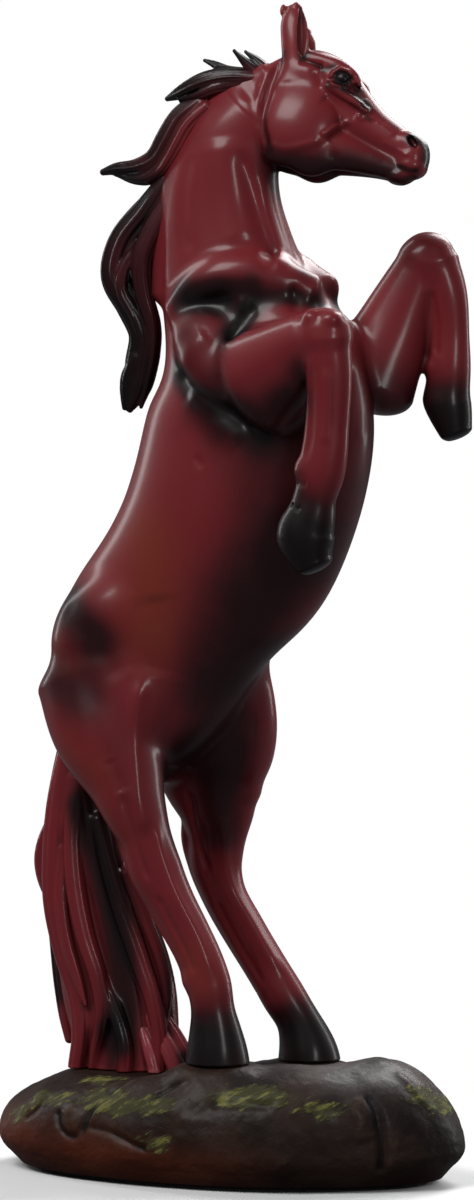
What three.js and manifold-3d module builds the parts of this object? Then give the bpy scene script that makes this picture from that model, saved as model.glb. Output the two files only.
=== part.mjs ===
// A rearing horse in painted cold-cast resin, standing on its hind legs and tail on a mossy rock.
// Millimetres. +X is the way the horse faces, +Y is its left side, +Z is up. The origin is the middle
// of the underside, on the surface that the figurine stands on.
import * as THREE from "three";
import { mergeVertices } from "three/addons/utils/BufferGeometryUtils.js";
import Module from "manifold-3d";

const wasm = await Module();
wasm.setup();

// Rock and felt
const ROCK_LENGTH = 126;
const ROCK_WIDTH = 70;
const ROCK_TOP = 27.6;
const ROCK_EDGE_RADIUS = 14;
const ROCK_SLOPE = 0.075;
const ROCK_BACK_SLOPE = 0.05;
const ROCK_NOSE_FALL = 0.0138;
const ROCK_NOSE_START = 42;
const ROCK_SIDE_HEIGHT = 8;
const ROCK_FOOT_INSET = 3.5;
const FELT_THICKNESS = 1.5;
const FELT_INSET = 5.5;

// Heights of the seats that are cut level in the rock
const RIGHT_SEAT_Z = 30.5;
const LEFT_SEAT_Z = 28;
const TAIL_SEAT_Z = 25.5;

// Glue line between two castings, and the play round a pin or wire in its hole
const GLUE_GAP = 0.3;
const PIN_CLEARANCE = 0.3;

// Steel wires that run up through the hind legs, and steel pins across the other joints
const WIRE_DIAMETER = 3;
const WIRE_IN_ROCK = 16;
const WIRE_IN_TORSO = 14;
const NECK_PIN_DIAMETER = 5;
const NECK_PIN_LENGTH = 34;
const HEAD_PIN_DIAMETER = 3;
const HEAD_PIN_LENGTH = 18;
const FORELEG_PIN_DIAMETER = 3;
const FORELEG_PIN_LENGTH = 18;
const TAIL_PIN_DIAMETER = 3;
const TAIL_PIN_LENGTH = 14;

// Heights where the hind legs are jointed to the torso
const HIND_SEAM_Z = 94;

// Faces round each kind of piece
const TRUNK_SIDES = 20;
const HEAD_SIDES = 16;
const LEG_SIDES = 12;
const TAIL_SIDES = 14;
const LOCK_SIDES = 8;
const STRAND_SIDES = 7;
const PIN_SIDES = 12;
const ROCK_SIDES = 44;

// One cross-section of a limb or body: its middle, its half depth front to back, and its half width
function section(x, y, z, deep, wide) {
  return { middle: new THREE.Vector3(x, y, z), deep, wide };
}

// A closed skin carried through the sections on a smooth curve, with a domed end past each end section.
// grow adds the same to every half depth and half width, and dome is a dome's height over its width.
function loftGeometry(sections, sides, rings, { grow = 0, dome = 0.5 } = {}) {
  const path = new THREE.CatmullRomCurve3(sections.map((s) => s.middle), false, "centripetal");
  const size = new THREE.SplineCurve(sections.map((s) => new THREE.Vector2(s.deep, s.wide)));
  const positions = [];
  const addRing = (t, scale, along) => {
    const middle = path.getPoint(t);
    const ahead = path.getTangent(t);
    const side = new THREE.Vector3(0, 1, 0).addScaledVector(ahead, -ahead.y).normalize();
    const front = new THREE.Vector3().crossVectors(side, ahead);
    const half = size.getPoint(t);
    const reach = (Math.min(half.x, half.y) + grow) * dome * along;
    for (let j = 0; j < sides; j++) {
      const angle = (2 * Math.PI * j) / sides;
      const p = middle.clone().addScaledVector(ahead, reach);
      p.addScaledVector(front, (half.x + grow) * scale * Math.cos(angle));
      p.addScaledVector(side, (half.y + grow) * scale * Math.sin(angle));
      positions.push(p.x, p.y, p.z);
    }
  };
  const domeAngles = [0.8, 1.4];
  for (const a of [...domeAngles].reverse()) addRing(0, Math.cos(a), -Math.sin(a));
  for (let k = 0; k <= rings; k++) addRing(k / rings, 1, 0);
  for (const a of domeAngles) addRing(1, Math.cos(a), Math.sin(a));
  return closedRings(positions, sides);
}

// Rings of equal count joined by triangles, with a fan over the first ring and over the last
function closedRings(positions, sides) {
  const rings = positions.length / 3 / sides;
  const index = [];
  for (let k = 0; k + 1 < rings; k++) {
    for (let j = 0; j < sides; j++) {
      const a = k * sides + j;
      const b = k * sides + ((j + 1) % sides);
      index.push(a, b, b + sides, a, b + sides, a + sides);
    }
  }
  const last = (rings - 1) * sides;
  for (let j = 1; j + 1 < sides; j++) {
    index.push(0, j + 1, j);
    index.push(last, last + j, last + j + 1);
  }
  const geometry = new THREE.BufferGeometry();
  geometry.setAttribute("position", new THREE.Float32BufferAttribute(positions, 3));
  geometry.setIndex(index);
  return geometry;
}

// A closed geometry as a solid that can be joined and cut
function solid(geometry) {
  const bare = new THREE.BufferGeometry();
  bare.setAttribute("position", geometry.getAttribute("position").clone());
  if (geometry.index) bare.setIndex(geometry.index.clone());
  const merged = mergeVertices(bare, 1e-4);
  const vertProperties = new Float32Array(merged.attributes.position.array);
  const triVerts = new Uint32Array(merged.index.array);
  return new wasm.Manifold(new wasm.Mesh({ numProp: 3, vertProperties, triVerts }));
}

function loft(sections, sides, rings, options) {
  return solid(loftGeometry(sections, sides, rings, options));
}

// A rounded muscle: an ellipsoid with its three half sizes, pitched about the side-to-side axis
function muscle(x, y, z, long, wide, high, pitch = 0, grow = 0) {
  const ball = new THREE.SphereGeometry(1, 14, 9);
  ball.scale(long + grow, wide + grow, high + grow);
  ball.rotateY(pitch);
  ball.translate(x, y, z);
  return solid(ball);
}

const join = (solids) => solids.reduce((all, one) => all.add(one));

// A muscle that lies from one point to another, with its half width and its half thickness, which is
// measured along the way it stands out
function longMuscle(start, end, wide, thick, out, grow = 0) {
  const from = new THREE.Vector3(...start);
  const to = new THREE.Vector3(...end);
  const along = to.clone().sub(from).normalize();
  const outward = new THREE.Vector3(...out).addScaledVector(along, -along.dot(new THREE.Vector3(...out)));
  outward.normalize();
  const ball = new THREE.SphereGeometry(1, 14, 9);
  ball.rotateZ(Math.PI / 2);
  ball.scale(from.distanceTo(to) / 2 + grow, wide + grow, thick + grow);
  const across = new THREE.Vector3().crossVectors(outward, along);
  ball.applyMatrix4(new THREE.Matrix4().makeBasis(along, across, outward));
  ball.translate(...from.lerp(to, 0.5).toArray());
  return solid(ball);
}

// The part of a solid on the side of a plane that its normal points to, kept back from it by gap
function beyond(body, point, normal, gap) {
  const n = normal.clone().normalize();
  return body.trimByPlane([n.x, n.y, n.z], n.dot(point) + gap);
}

function before(body, point, normal, gap) {
  return beyond(body, point, normal.clone().negate(), gap);
}

// A round steel pin centred on a joint, lying along its axis
function pinSolid(at, axis, diameter, length) {
  const pin = new THREE.CylinderGeometry(diameter / 2, diameter / 2, length, PIN_SIDES);
  const turn = new THREE.Quaternion();
  turn.setFromUnitVectors(new THREE.Vector3(0, 1, 0), axis.clone().normalize());
  pin.applyQuaternion(turn);
  pin.translate(at.x, at.y, at.z);
  return solid(pin);
}

const pinHole = (at, axis, diameter, length) =>
  pinSolid(at, axis, diameter + 2 * PIN_CLEARANCE, length + 2 * PIN_CLEARANCE);

// Trunk: one run of sections from the pelvis over the barrel, up the neck and into the poll
const TRUNK = [
  section(-27, 0, 110, 15, 14),
  section(-22.3, 0, 121, 21.5, 17.5),
  section(-21, 0, 134.6, 27, 19),
  section(-12.8, 0, 147, 26.7, 19.5),
  section(-1.8, 0, 161, 29.8, 20.5),
  section(3, 0, 172, 30.3, 21),
  section(6.5, 0, 184.5, 30.6, 20.5),
  section(8.2, 0, 197, 29.7, 20),
  section(7.3, 0, 209, 25.8, 18.5),
  section(3, 0, 220.6, 21.2, 16),
  section(-0.6, 0, 231, 18.8, 13.5),
  section(-2, 0, 241, 17, 11.5),
  section(-2.8, 0, 250, 15.7, 10.2),
  section(-1, 0, 259, 13.9, 9.3),
  section(2.6, 0, 266.5, 11.8, 8.3),
  section(7, 0, 271, 9.6, 7),
];

// The roll of muscle over each shoulder, and the hollow under it
const collar = (side) => [
  section(-10, side * 12.3, 221, 3.6, 4),
  section(-4.5, side * 13.6, 227, 4, 4),
  section(2, side * 13.6, 230.6, 4.2, 4),
  section(9, side * 12, 231.3, 4.2, 4),
  section(16, side * 9.5, 229.8, 4.4, 4.5),
  section(23, side * 6, 226.5, 4.4, 4.5),
];
const HOLLOW = { start: [-7.5, 224.2], end: [6.5, 223.4], y: 16.5, wide: 4, thick: 3.4 };

// Muscle masses that stand out of the trunk: shoulder blade, upper arm, breast, hip, rump, hamstrings
function trunkMuscles(grow) {
  return [-1, 1].flatMap((side) => {
    const outward = [0, side, 0];
    return [
      longMuscle([-7, side * 13.5, 221], [5, side * 16.5, 205], 8, 6, outward, grow),
      longMuscle([-4, side * 15, 214], [9, side * 18, 198], 8, 6.5, outward, grow),
      longMuscle([12, side * 8, 222], [32, side * 10, 204], 9, 8, [1, side * 0.6, 0.3], grow),
      muscle(-25.5, side * 12.5, 146, 6, 7, 5.5, 0, grow),
      longMuscle([-30, side * 10.5, 150], [-36, side * 10.5, 122], 12, 9, outward, grow),
      longMuscle([-40, side * 9, 134], [-33.5, side * 13.5, 107], 7, 7, outward, grow),
    ];
  });
}

function trunkSolid(grow = 0) {
  const rolls = [-1, 1].map((side) => loft(collar(side), LOCK_SIDES, 8, { grow, dome: 0.7 }));
  const hollows = [-1, 1].map((side) => {
    const [from, to] = [HOLLOW.start, HOLLOW.end].map(([x, z]) => [x, side * HOLLOW.y, z]);
    return longMuscle(from, to, HOLLOW.wide, HOLLOW.thick, [0, side, 0], -grow);
  });
  const body = join([loft(TRUNK, TRUNK_SIDES, 26, { grow }), ...trunkMuscles(grow), ...rolls]);
  return body.subtract(join(hollows));
}

// Half depth and half width at each joint of a hind leg, the same on both legs
const HIND = {
  hip: [17, 10],
  thigh: [14, 10.5],
  stifle: [10.5, 9],
  gaskin: [8, 7.5],
  gaskinLow: [6.6, 6.2],
  hock: [7, 5.8],
  hockLow: [5.8, 5.2],
  cannon: [5.8, 4.8],
  cannonLow: [5.8, 4.8],
  fetlock: [5.5, 5.3],
  pastern: [5.4, 5],
  coronet: [6.6, 6],
  sole: [8, 7.5],
};
const RIGHT_HIND = [
  section(-32.5, -10, 126, ...HIND.hip),
  section(-29.5, -13.5, 114, ...HIND.thigh),
  section(-23.5, -15.5, 102.5, ...HIND.stifle),
  section(-19.8, -17, 94.5, ...HIND.gaskin),
  section(-16.6, -17, 86.7, ...HIND.gaskinLow),
  section(-14, -17, 79, ...HIND.hock),
  section(-9.7, -17, 71.7, ...HIND.hockLow),
  section(-5, -17, 63.5, ...HIND.cannon),
  section(-0.7, -17, 55.5, ...HIND.cannonLow),
  section(1.1, -17, 49.5, ...HIND.fetlock),
  section(1.4, -17, 45, ...HIND.pastern),
  section(1.9, -17, 39.5, ...HIND.coronet),
  section(2.7, -17, 32, ...HIND.sole),
];
const LEFT_HIND = [
  section(-16.4, 10, 126.5, 22.6, 10),
  section(-11.7, 12.5, 110, 18.8, 10.5),
  section(-11.4, 14, 99.7, 14, 9),
  section(-10.2, 15, 90, 9.8, 7.5),
  section(-10.2, 15, 84, 7.4, 6.4),
  section(-10.6, 15, 78.5, ...HIND.hock),
  section(-8.8, 15, 71.5, ...HIND.hockLow),
  section(-3, 15, 61.5, ...HIND.cannon),
  section(4, 15, 51, ...HIND.cannonLow),
  section(8.9, 15, 43.1, ...HIND.fetlock),
  section(12.2, 15, 38.1, ...HIND.pastern),
  section(14.2, 15, 34, ...HIND.coronet),
  section(15.4, 15, 29, ...HIND.sole),
];

// Half depth and half width along a foreleg, the same on both legs
const FORE = {
  elbow: [13.5, 9.3],
  forearm: [10.9, 8.2],
  forearmLow: [8.2, 6.7],
  kneeTop: [6, 5.6],
  kneeLow: [5.8, 5.2],
  cannon: [6, 4.7],
  cannonLow: [5.8, 4.3],
  fetlock: [5.7, 5],
  pastern: [5.2, 4.8],
  coronet: [6.2, 5.5],
  toe: [5.4, 5.2],
};
const KNEE_SIZE = [7, 5.8, 6.6];
const RIGHT_FORE = {
  forearm: [
    section(14.5, -17.5, 203, ...FORE.elbow),
    section(22, -20.5, 208, ...FORE.forearm),
    section(29, -23.5, 213, ...FORE.forearmLow),
    section(34.3, -26, 216.3, ...FORE.kneeTop),
  ],
  knee: [35.7, -26.8, 216.2],
  cannon: [
    section(36.4, -27.2, 214, ...FORE.kneeLow),
    section(36.8, -27.5, 208, ...FORE.cannon),
    section(36.4, -27.8, 194, ...FORE.cannonLow),
    section(34.6, -27.8, 181, ...FORE.fetlock),
    section(32.6, -27.8, 174.6, ...FORE.pastern),
    section(31, -27.8, 168.4, ...FORE.coronet),
    section(31.4, -27.8, 160.5, ...FORE.toe),
  ],
};
const LEFT_FORE = {
  forearm: [
    section(31.5, 14.5, 203, ...FORE.elbow),
    section(36, 17, 213.7, ...FORE.forearm),
    section(40.8, 18.5, 225, ...FORE.forearmLow),
    section(44.6, 19.7, 233, 6.8, 5.6),
  ],
  knee: [45.8, 20, 235.3],
  cannon: [
    section(48, 20, 233, ...FORE.kneeLow),
    section(49.8, 20, 226.5, ...FORE.cannon),
    section(51, 20, 214, ...FORE.cannonLow),
    section(51.6, 20, 204.1, 5, 4.8),
    section(51.3, 20, 200, 4.9, 4.8),
    section(51.5, 20, 195.5, 5.4, 5.4),
    section(52.8, 20, 190.5, 4.6, 5.2),
  ],
};

const LEG_RINGS = 22;
const SOLE_SPARE = 4;

// A leg or tail that stands on the rock: its sections run on past the seat, then it is cut off level
function standingLoft(sections, seatZ, sides, rings, grow = 0) {
  const last = sections[sections.length - 1];
  const below = section(last.middle.x, last.middle.y, seatZ - SOLE_SPARE, last.deep, last.wide);
  const body = loft([...sections, below], sides, rings, { grow, dome: 0.7 });
  return body.trimByPlane([0, 0, 1], seatZ);
}

const forearm = (leg) => loft(leg.forearm, LEG_SIDES, 9, { dome: 0.3 });

// The knee and everything below it on a raised foreleg
function foreShank(leg) {
  const cannon = loft(leg.cannon, LEG_SIDES, 15, { dome: 0.75 });
  return join([muscle(...leg.knee, ...KNEE_SIZE), cannon]);
}

// Joints: a point on the glue line and the way the outer casting leaves
const NECK_JOINT = { at: new THREE.Vector3(0, 0, 231), axis: new THREE.Vector3(-0.26, 0, 0.965) };
const HEAD_JOINT = { at: new THREE.Vector3(6, 0, 266.3), axis: new THREE.Vector3(0.85, 0, 0.52) };
const RIGHT_FORE_JOINT = {
  at: new THREE.Vector3(13, -16.5, 205.5),
  axis: new THREE.Vector3(0.87, -0.34, 0.36),
};
const LEFT_FORE_JOINT = {
  at: new THREE.Vector3(32.5, 15, 206),
  axis: new THREE.Vector3(0.42, 0.2, 0.88),
};
const HIND_JOINT = { at: new THREE.Vector3(0, 0, HIND_SEAM_Z), axis: new THREE.Vector3(0, 0, -1) };
const TAIL_JOINT = { at: new THREE.Vector3(-44, 0, 106), axis: new THREE.Vector3(-0.5, 0, -0.8) };

// Head: sections from the back of the skull to the lips, rolled about the head's own length so that
// its top leans to the left
const HEAD = [
  section(9, 0, 269.5, 11.5, 8),
  section(16, 0, 272, 14.2, 9),
  section(23, 0, 271.5, 14.4, 9.3),
  section(30, 0, 268.8, 12, 8),
  section(37, 0, 265.8, 9.2, 6.4),
  section(43, 0, 262.5, 7.2, 5.4),
  section(47.5, 0, 260, 6.6, 5.2),
  section(50.5, 0, 258.8, 4.8, 4.2),
];
const HEAD_ROLL = 0.3;
const HEAD_AXIS_POINT = new THREE.Vector3(16, 0, 268);
const HEAD_AXIS = new THREE.Vector3(-0.94, 0, 0.33);
const CHEEK = { x: 18, y: 3.4, z: 267, size: [10.2, 6.5, 9.8] };
const LIPS = { x: 46.5, z: 255.8, size: [4, 4, 3] };
const EAR_FOOT_Z = 280.5;
const RIGHT_EAR_LENGTH = 18.9;
const LEFT_EAR_LENGTH = 15.5;

function rollWithHead(body) {
  const p = HEAD_AXIS_POINT;
  const turn = new THREE.Matrix4().makeRotationAxis(HEAD_AXIS.clone().normalize(), HEAD_ROLL);
  const about = new THREE.Matrix4().makeTranslation(p.x, p.y, p.z).multiply(turn);
  about.multiply(new THREE.Matrix4().makeTranslation(-p.x, -p.y, -p.z));
  return body.transform(about.elements);
}

function earSolid(side, length) {
  const foot = EAR_FOOT_Z;
  return loft(
    [
      section(16.6, side * 4.4, foot, 3.5, 2.6),
      section(16.4, side * 5, foot + 0.3 * length, 3.6, 2.8),
      section(16.2, side * 5.2, foot + 0.65 * length, 3.2, 2.4),
      section(16.6, side * 4.8, foot + length, 1.1, 0.9),
    ],
    LOCK_SIDES,
    6,
  );
}

function headSolid(grow = 0) {
  const skull = loft(HEAD, HEAD_SIDES, 14, { grow, dome: 0.6 });
  const cheeks = [-1, 1].map((side) =>
    muscle(CHEEK.x, side * CHEEK.y, CHEEK.z, ...CHEEK.size, 0, grow),
  );
  const lips = muscle(LIPS.x, 0, LIPS.z, ...LIPS.size, 0, grow);
  const ears = [earSolid(-1, RIGHT_EAR_LENGTH), earSolid(1, LEFT_EAR_LENGTH)];
  return rollWithHead(join([skull, ...cheeks, lips, ...ears]));
}

// Locks of mane: the poll tuft, the swept crest lock, the flying lock and the long lower lock
const MANE_POLL_TUFT = [
  [
    section(7, 0, 279, 4, 2.6),
    section(4.8, 0, 283.5, 2.6, 1.8),
    section(3, 0, 287.5, 0.7, 0.7),
  ],
];
const MANE_CREST_LOCK = [
  [
    section(3, 0, 277, 4, 3),
    section(-4, 0, 279, 4.2, 3.4),
    section(-11, 0, 276.5, 3.6, 3),
    section(-16.6, 0, 274.3, 1.6, 1.4),
  ],
  [
    section(-1, 0, 278, 2.5, 2),
    section(-3.5, 0, 281.5, 1.6, 1.4),
    section(-5.7, 0, 284.7, 0.7, 0.7),
  ],
];
const MANE_FLYING_LOCK = [
  [
    section(-12, 0, 266.5, 4.6, 4),
    section(-15.5, 0, 262.5, 4.2, 4.2),
    section(-19, 0, 257.5, 4.8, 3.8),
    section(-26, 0, 254.8, 3.4, 3),
    section(-34, 0, 255.6, 2, 1.8),
  ],
];
const MANE_LOWER_LOCK = [
  [
    section(-18.5, 0, 253, 4.5, 4),
    section(-22, 0, 245, 5.5, 4.4),
    section(-26.8, 0, 235.5, 7.5, 4.6),
    section(-28.3, 0, 227, 7.6, 4.4),
    section(-24, 0, 215.5, 4.8, 3.8),
    section(-25, 0, 204, 4.8, 3.2),
    section(-27.3, 0, 196, 2.3, 1.8),
  ],
];

// Tail: the main fall of hair, an outer lock that curls off behind it, and a short lock at its foot
const TAIL_MAIN = [
  section(-41, 0, 110, 6.5, 5.5),
  section(-41.5, 0, 102, 8, 6.5),
  section(-40.8, 0, 92, 10, 7.5),
  section(-39.6, 0, 80, 12.2, 8),
  section(-37, 0, 68, 14.2, 8.2),
  section(-34.2, 0, 55, 15.8, 8),
  section(-31.6, 0, 42, 16, 7.6),
  section(-29.3, 0, 33, 14.6, 7.6),
  section(-28.5, 0, 28, 14.6, 8.5),
];
// Strands that stand out of the main fall, from the dock or the middle down to the rock
const TAIL_STRANDS = [
  [
    section(-44.6, -2.4, 108, 2.8, 2.8),
    section(-46.9, -4.5, 92, 3.1, 2.9),
    section(-47.6, -5.2, 74, 3.1, 2.9),
    section(-44.6, -5.4, 55, 2.9, 2.7),
    section(-40.4, -5.5, 38, 2.5, 2.4),
    section(-42, -5.4, 20, 2.1, 2.1),
  ],
  [
    section(-41, -4.6, 100, 2.2, 2),
    section(-41.4, -7, 81, 2.6, 2.3),
    section(-37.6, -8, 60, 2.6, 2.4),
    section(-33.2, -7.6, 42, 2.1, 2.1),
    section(-36.6, -6.4, 26, 0.8, 0.8),
  ],
  [
    section(-44.4, -5.6, 82, 1.4, 1.4),
    section(-43.6, -7.3, 64, 1.8, 1.6),
    section(-37.6, -7.8, 43, 0.8, 0.8),
  ],
  [
    section(-35, -5, 90, 2, 2),
    section(-29.4, -6.5, 72, 2.7, 2.4),
    section(-23, -6.4, 54, 2.8, 2.4),
    section(-18.4, -5.6, 37, 2.3, 2.1),
    section(-18.8, -5, 22, 2, 2),
  ],
  [
    section(-28, -3, 76, 2.2, 2.2),
    section(-20, -3.3, 58, 2.6, 2.4),
    section(-17.4, -3, 39, 1, 1),
  ],
  [
    section(-33, -6, 48, 1.6, 1.6),
    section(-27.6, -7.9, 36, 2.2, 2),
    section(-27, -7.6, 22, 2, 2),
  ],
  [
    section(-43, 3.4, 104, 2.4, 2.4),
    section(-43.4, 6.4, 82, 3, 2.8),
    section(-38, 7.4, 58, 3, 2.6),
    section(-35, 7.1, 40, 2.7, 2.4),
    section(-36.6, 7, 20, 2.2, 2.2),
  ],
  [
    section(-36, 5, 88, 2.2, 2.2),
    section(-28.6, 6.9, 67, 2.8, 2.4),
    section(-23, 6.5, 46, 2.6, 2.4),
    section(-24.6, 6.4, 22, 2.2, 2.2),
  ],
  [
    section(-30, 3, 72, 2, 2),
    section(-21.2, 3.1, 54, 2.4, 2.2),
    section(-18.2, 2.5, 32, 2, 2),
  ],
  [
    section(-46.4, 1.6, 93, 2, 2.2),
    section(-51.2, 2.2, 86, 2.6, 2.6),
    section(-52.8, 2.4, 79, 3, 2.8),
    section(-51.2, 2.2, 71.4, 2.8, 2.6),
    section(-48, 2, 65, 1.6, 1.6),
  ],
];
const TAIL_OUTER_LOCK = [
  section(-46, 5, 92, 3.5, 3.5),
  section(-51, 6, 82, 3.6, 3.8),
  section(-51.5, 6, 73, 3.9, 4),
  section(-48.5, 5.5, 60, 3.8, 4),
  section(-47, 5, 47, 3.4, 3.6),
  section(-45.5, 4.5, 37, 2.8, 3),
  section(-45, 4.5, 32.5, 1.6, 1.8),
];
const TAIL_FOOT_LOCK = [
  section(-20, -1, 40, 2.6, 3.2),
  section(-17, -2, 34, 3.4, 4),
  section(-14.5, -2, 28, 4.2, 4.6),
];

function lockSolid(lofts, rings = 10, grow = 0) {
  return join(lofts.map((sections) => loft(sections, LOCK_SIDES, rings, { grow, dome: 0.9 })));
}

// Rock: a rounded boulder whose plan is a wavy oval. The top is a height over the plan, levelled
// round each hoof and under the tail.
const SEATS = [
  { x: 2.7, y: -17, z: RIGHT_SEAT_Z, radius: 9 },
  { x: 15.4, y: 15, z: LEFT_SEAT_Z, radius: 9 },
  { x: -28.5, y: 0, z: TAIL_SEAT_Z, radius: 17 },
];

function rockHeight(x, y) {
  const nose = Math.max(0, x - ROCK_NOSE_START);
  let height = ROCK_TOP + ROCK_SLOPE * x - ROCK_NOSE_FALL * nose * nose;
  height += 0.5 * Math.sin(x * 0.17 + y * 0.13) - 0.0016 * y * y - ROCK_BACK_SLOPE * y;
  for (const seat of SEATS) {
    const r = Math.hypot(x - seat.x, y - seat.y) / seat.radius;
    const hold = 1 - THREE.MathUtils.smoothstep(r, 1, 1.7);
    height = THREE.MathUtils.lerp(height, seat.z - GLUE_GAP, hold);
  }
  return height;
}

// Radius of the rock's plan at an angle, as a share of the oval's. It is 1 at both ends and sides.
const rockWave = (a) => 1 - 0.02 * (1 - Math.cos(4 * a)) - 0.05 * Math.sin(2 * a) ** 2 * Math.cos(a);

function rockPoint(angle, share) {
  const squareness = 2.25;
  const c = Math.cos(angle);
  const s = Math.sin(angle);
  const reach = (Math.abs(c) ** squareness + Math.abs(s) ** squareness) ** (-1 / squareness);
  const k = reach * share * rockWave(angle);
  return [(ROCK_LENGTH / 2) * k * c, (ROCK_WIDTH / 2) * k * s];
}

function rockSolid() {
  const positions = [];
  const addRing = (share, level) => {
    for (let j = 0; j < ROCK_SIDES; j++) {
      const [x, y] = rockPoint((2 * Math.PI * j) / ROCK_SIDES, share);
      positions.push(x, y, level(x, y));
    }
  };
  const foot = 1 - (2 * ROCK_FOOT_INSET) / ROCK_WIDTH;
  addRing(foot, () => FELT_THICKNESS);
  addRing(1 - 0.4 * (1 - foot), () => FELT_THICKNESS + 0.25 * ROCK_SIDE_HEIGHT);
  addRing(1, () => FELT_THICKNESS + ROCK_SIDE_HEIGHT);
  const shoulder = ROCK_EDGE_RADIUS / (ROCK_WIDTH / 2);
  for (const a of [0, 0.4, 0.8, 1.2, Math.PI / 2]) {
    const drop = ROCK_EDGE_RADIUS * (1 - Math.sin(a));
    addRing(1 - shoulder * (1 - Math.cos(a)), (x, y) => rockHeight(x, y) - drop);
  }
  for (const share of [0.8, 0.6, 0.4, 0.2, 0.05]) addRing((1 - shoulder) * share, rockHeight);
  return solid(closedRings(positions, ROCK_SIDES));
}

function feltGeometry() {
  const outline = new THREE.Shape();
  const inset = 1 - (2 * FELT_INSET) / ROCK_WIDTH;
  for (let j = 0; j < ROCK_SIDES; j++) {
    const [x, y] = rockPoint((2 * Math.PI * j) / ROCK_SIDES, inset);
    if (j === 0) outline.moveTo(x, y);
    else outline.lineTo(x, y);
  }
  return new THREE.ExtrudeGeometry(outline, { depth: FELT_THICKNESS, bevelEnabled: false });
}

// The middle of a leg at a height, between its sections
function middleAt(sections, z) {
  const k = sections.findIndex((s) => s.middle.z < z);
  const above = sections[k - 1].middle;
  const below = sections[k].middle;
  return above.clone().lerp(below, (above.z - z) / (above.z - below.z));
}

// The wire in a hind leg follows the middle of the leg from the rock up into the torso. spare
// lengthens it at both ends.
function wireGeometry(sections, seatZ, diameter, spare) {
  const topZ = HIND_SEAM_Z + WIRE_IN_TORSO + spare;
  const top = middleAt(sections, topZ);
  const held = sections.map((s) => s.middle.clone()).filter((p) => p.z < topZ - 2);
  const foot = held[held.length - 1].clone();
  foot.z = seatZ - WIRE_IN_ROCK - spare;
  const curve = new THREE.CatmullRomCurve3([foot, ...held.reverse(), top], false, "centripetal");
  const round = new THREE.Shape();
  round.absarc(0, 0, diameter / 2, 0, 2 * Math.PI);
  return new THREE.ExtrudeGeometry(round, { steps: 24, curveSegments: 4, extrudePath: curve });
}

const materials = {
  resin: new THREE.MeshStandardMaterial({ color: 0x6e2228, roughness: 0.32, metalness: 0 }),
  darkResin: new THREE.MeshStandardMaterial({ color: 0x2a1618, roughness: 0.3, metalness: 0 }),
  rock: new THREE.MeshStandardMaterial({ color: 0x3a2a22, roughness: 0.5, metalness: 0 }),
  felt: new THREE.MeshStandardMaterial({ color: 0x1c1c1a, roughness: 0.95, metalness: 0 }),
  steel: new THREE.MeshStandardMaterial({ color: 0x9a9c9e, roughness: 0.35, metalness: 1 }),
};

const figurine = new THREE.Group();

function addPiece(name, body, material) {
  const mesh = body.getMesh();
  const geometry = new THREE.BufferGeometry();
  const positions = new Float32Array(mesh.numVert * 3);
  for (let i = 0; i < mesh.numVert; i++) {
    positions.set(mesh.vertProperties.subarray(i * mesh.numProp, i * mesh.numProp + 3), i * 3);
  }
  geometry.setAttribute("position", new THREE.BufferAttribute(positions, 3));
  geometry.setIndex(new THREE.BufferAttribute(mesh.triVerts, 1));
  const piece = new THREE.Mesh(geometry, material);
  piece.name = name;
  figurine.add(piece);
}

// Whole forms before they are jointed
const trunk = trunkSolid();
const grownTrunk = trunkSolid(GLUE_GAP);
const rightHind = standingLoft(RIGHT_HIND, RIGHT_SEAT_Z, LEG_SIDES, LEG_RINGS);
const leftHind = standingLoft(LEFT_HIND, LEFT_SEAT_Z, LEG_SIDES, LEG_RINGS);
const half = GLUE_GAP / 2;

// Rock, with a blind hole for each leg wire
const rightWireHole = solid(
  wireGeometry(RIGHT_HIND, RIGHT_SEAT_Z, WIRE_DIAMETER + 2 * PIN_CLEARANCE, PIN_CLEARANCE),
);
const leftWireHole = solid(
  wireGeometry(LEFT_HIND, LEFT_SEAT_Z, WIRE_DIAMETER + 2 * PIN_CLEARANCE, PIN_CLEARANCE),
);
const wireHoles = rightWireHole.add(leftWireHole);
addPiece("rock_base", rockSolid().subtract(wireHoles), materials.rock);
addPiece("felt_pad", solid(feltGeometry()), materials.felt);

// Torso: trunk below the neck joint with the roots of all four legs, drilled for pins and wires
const neckPinHole = pinHole(NECK_JOINT.at, NECK_JOINT.axis, NECK_PIN_DIAMETER, NECK_PIN_LENGTH);
const headPinHole = pinHole(HEAD_JOINT.at, HEAD_JOINT.axis, HEAD_PIN_DIAMETER, HEAD_PIN_LENGTH);
const forePinHole = (joint) =>
  pinHole(joint.at, joint.axis, FORELEG_PIN_DIAMETER, FORELEG_PIN_LENGTH);
const tailPinHole = pinHole(TAIL_JOINT.at, TAIL_JOINT.axis, TAIL_PIN_DIAMETER, TAIL_PIN_LENGTH);
const trunkBelowNeck = before(trunk, NECK_JOINT.at, NECK_JOINT.axis, half);
const torso = join([
  trunkBelowNeck,
  before(rightHind, HIND_JOINT.at, HIND_JOINT.axis, half),
  before(leftHind, HIND_JOINT.at, HIND_JOINT.axis, half),
  before(forearm(RIGHT_FORE), RIGHT_FORE_JOINT.at, RIGHT_FORE_JOINT.axis, half),
  before(forearm(LEFT_FORE), LEFT_FORE_JOINT.at, LEFT_FORE_JOINT.axis, half),
]);
const torsoCuts = join([
  neckPinHole,
  forePinHole(RIGHT_FORE_JOINT),
  forePinHole(LEFT_FORE_JOINT),
  tailPinHole,
  wireHoles,
]);
addPiece("torso", torso.subtract(torsoCuts), materials.resin);

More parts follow.
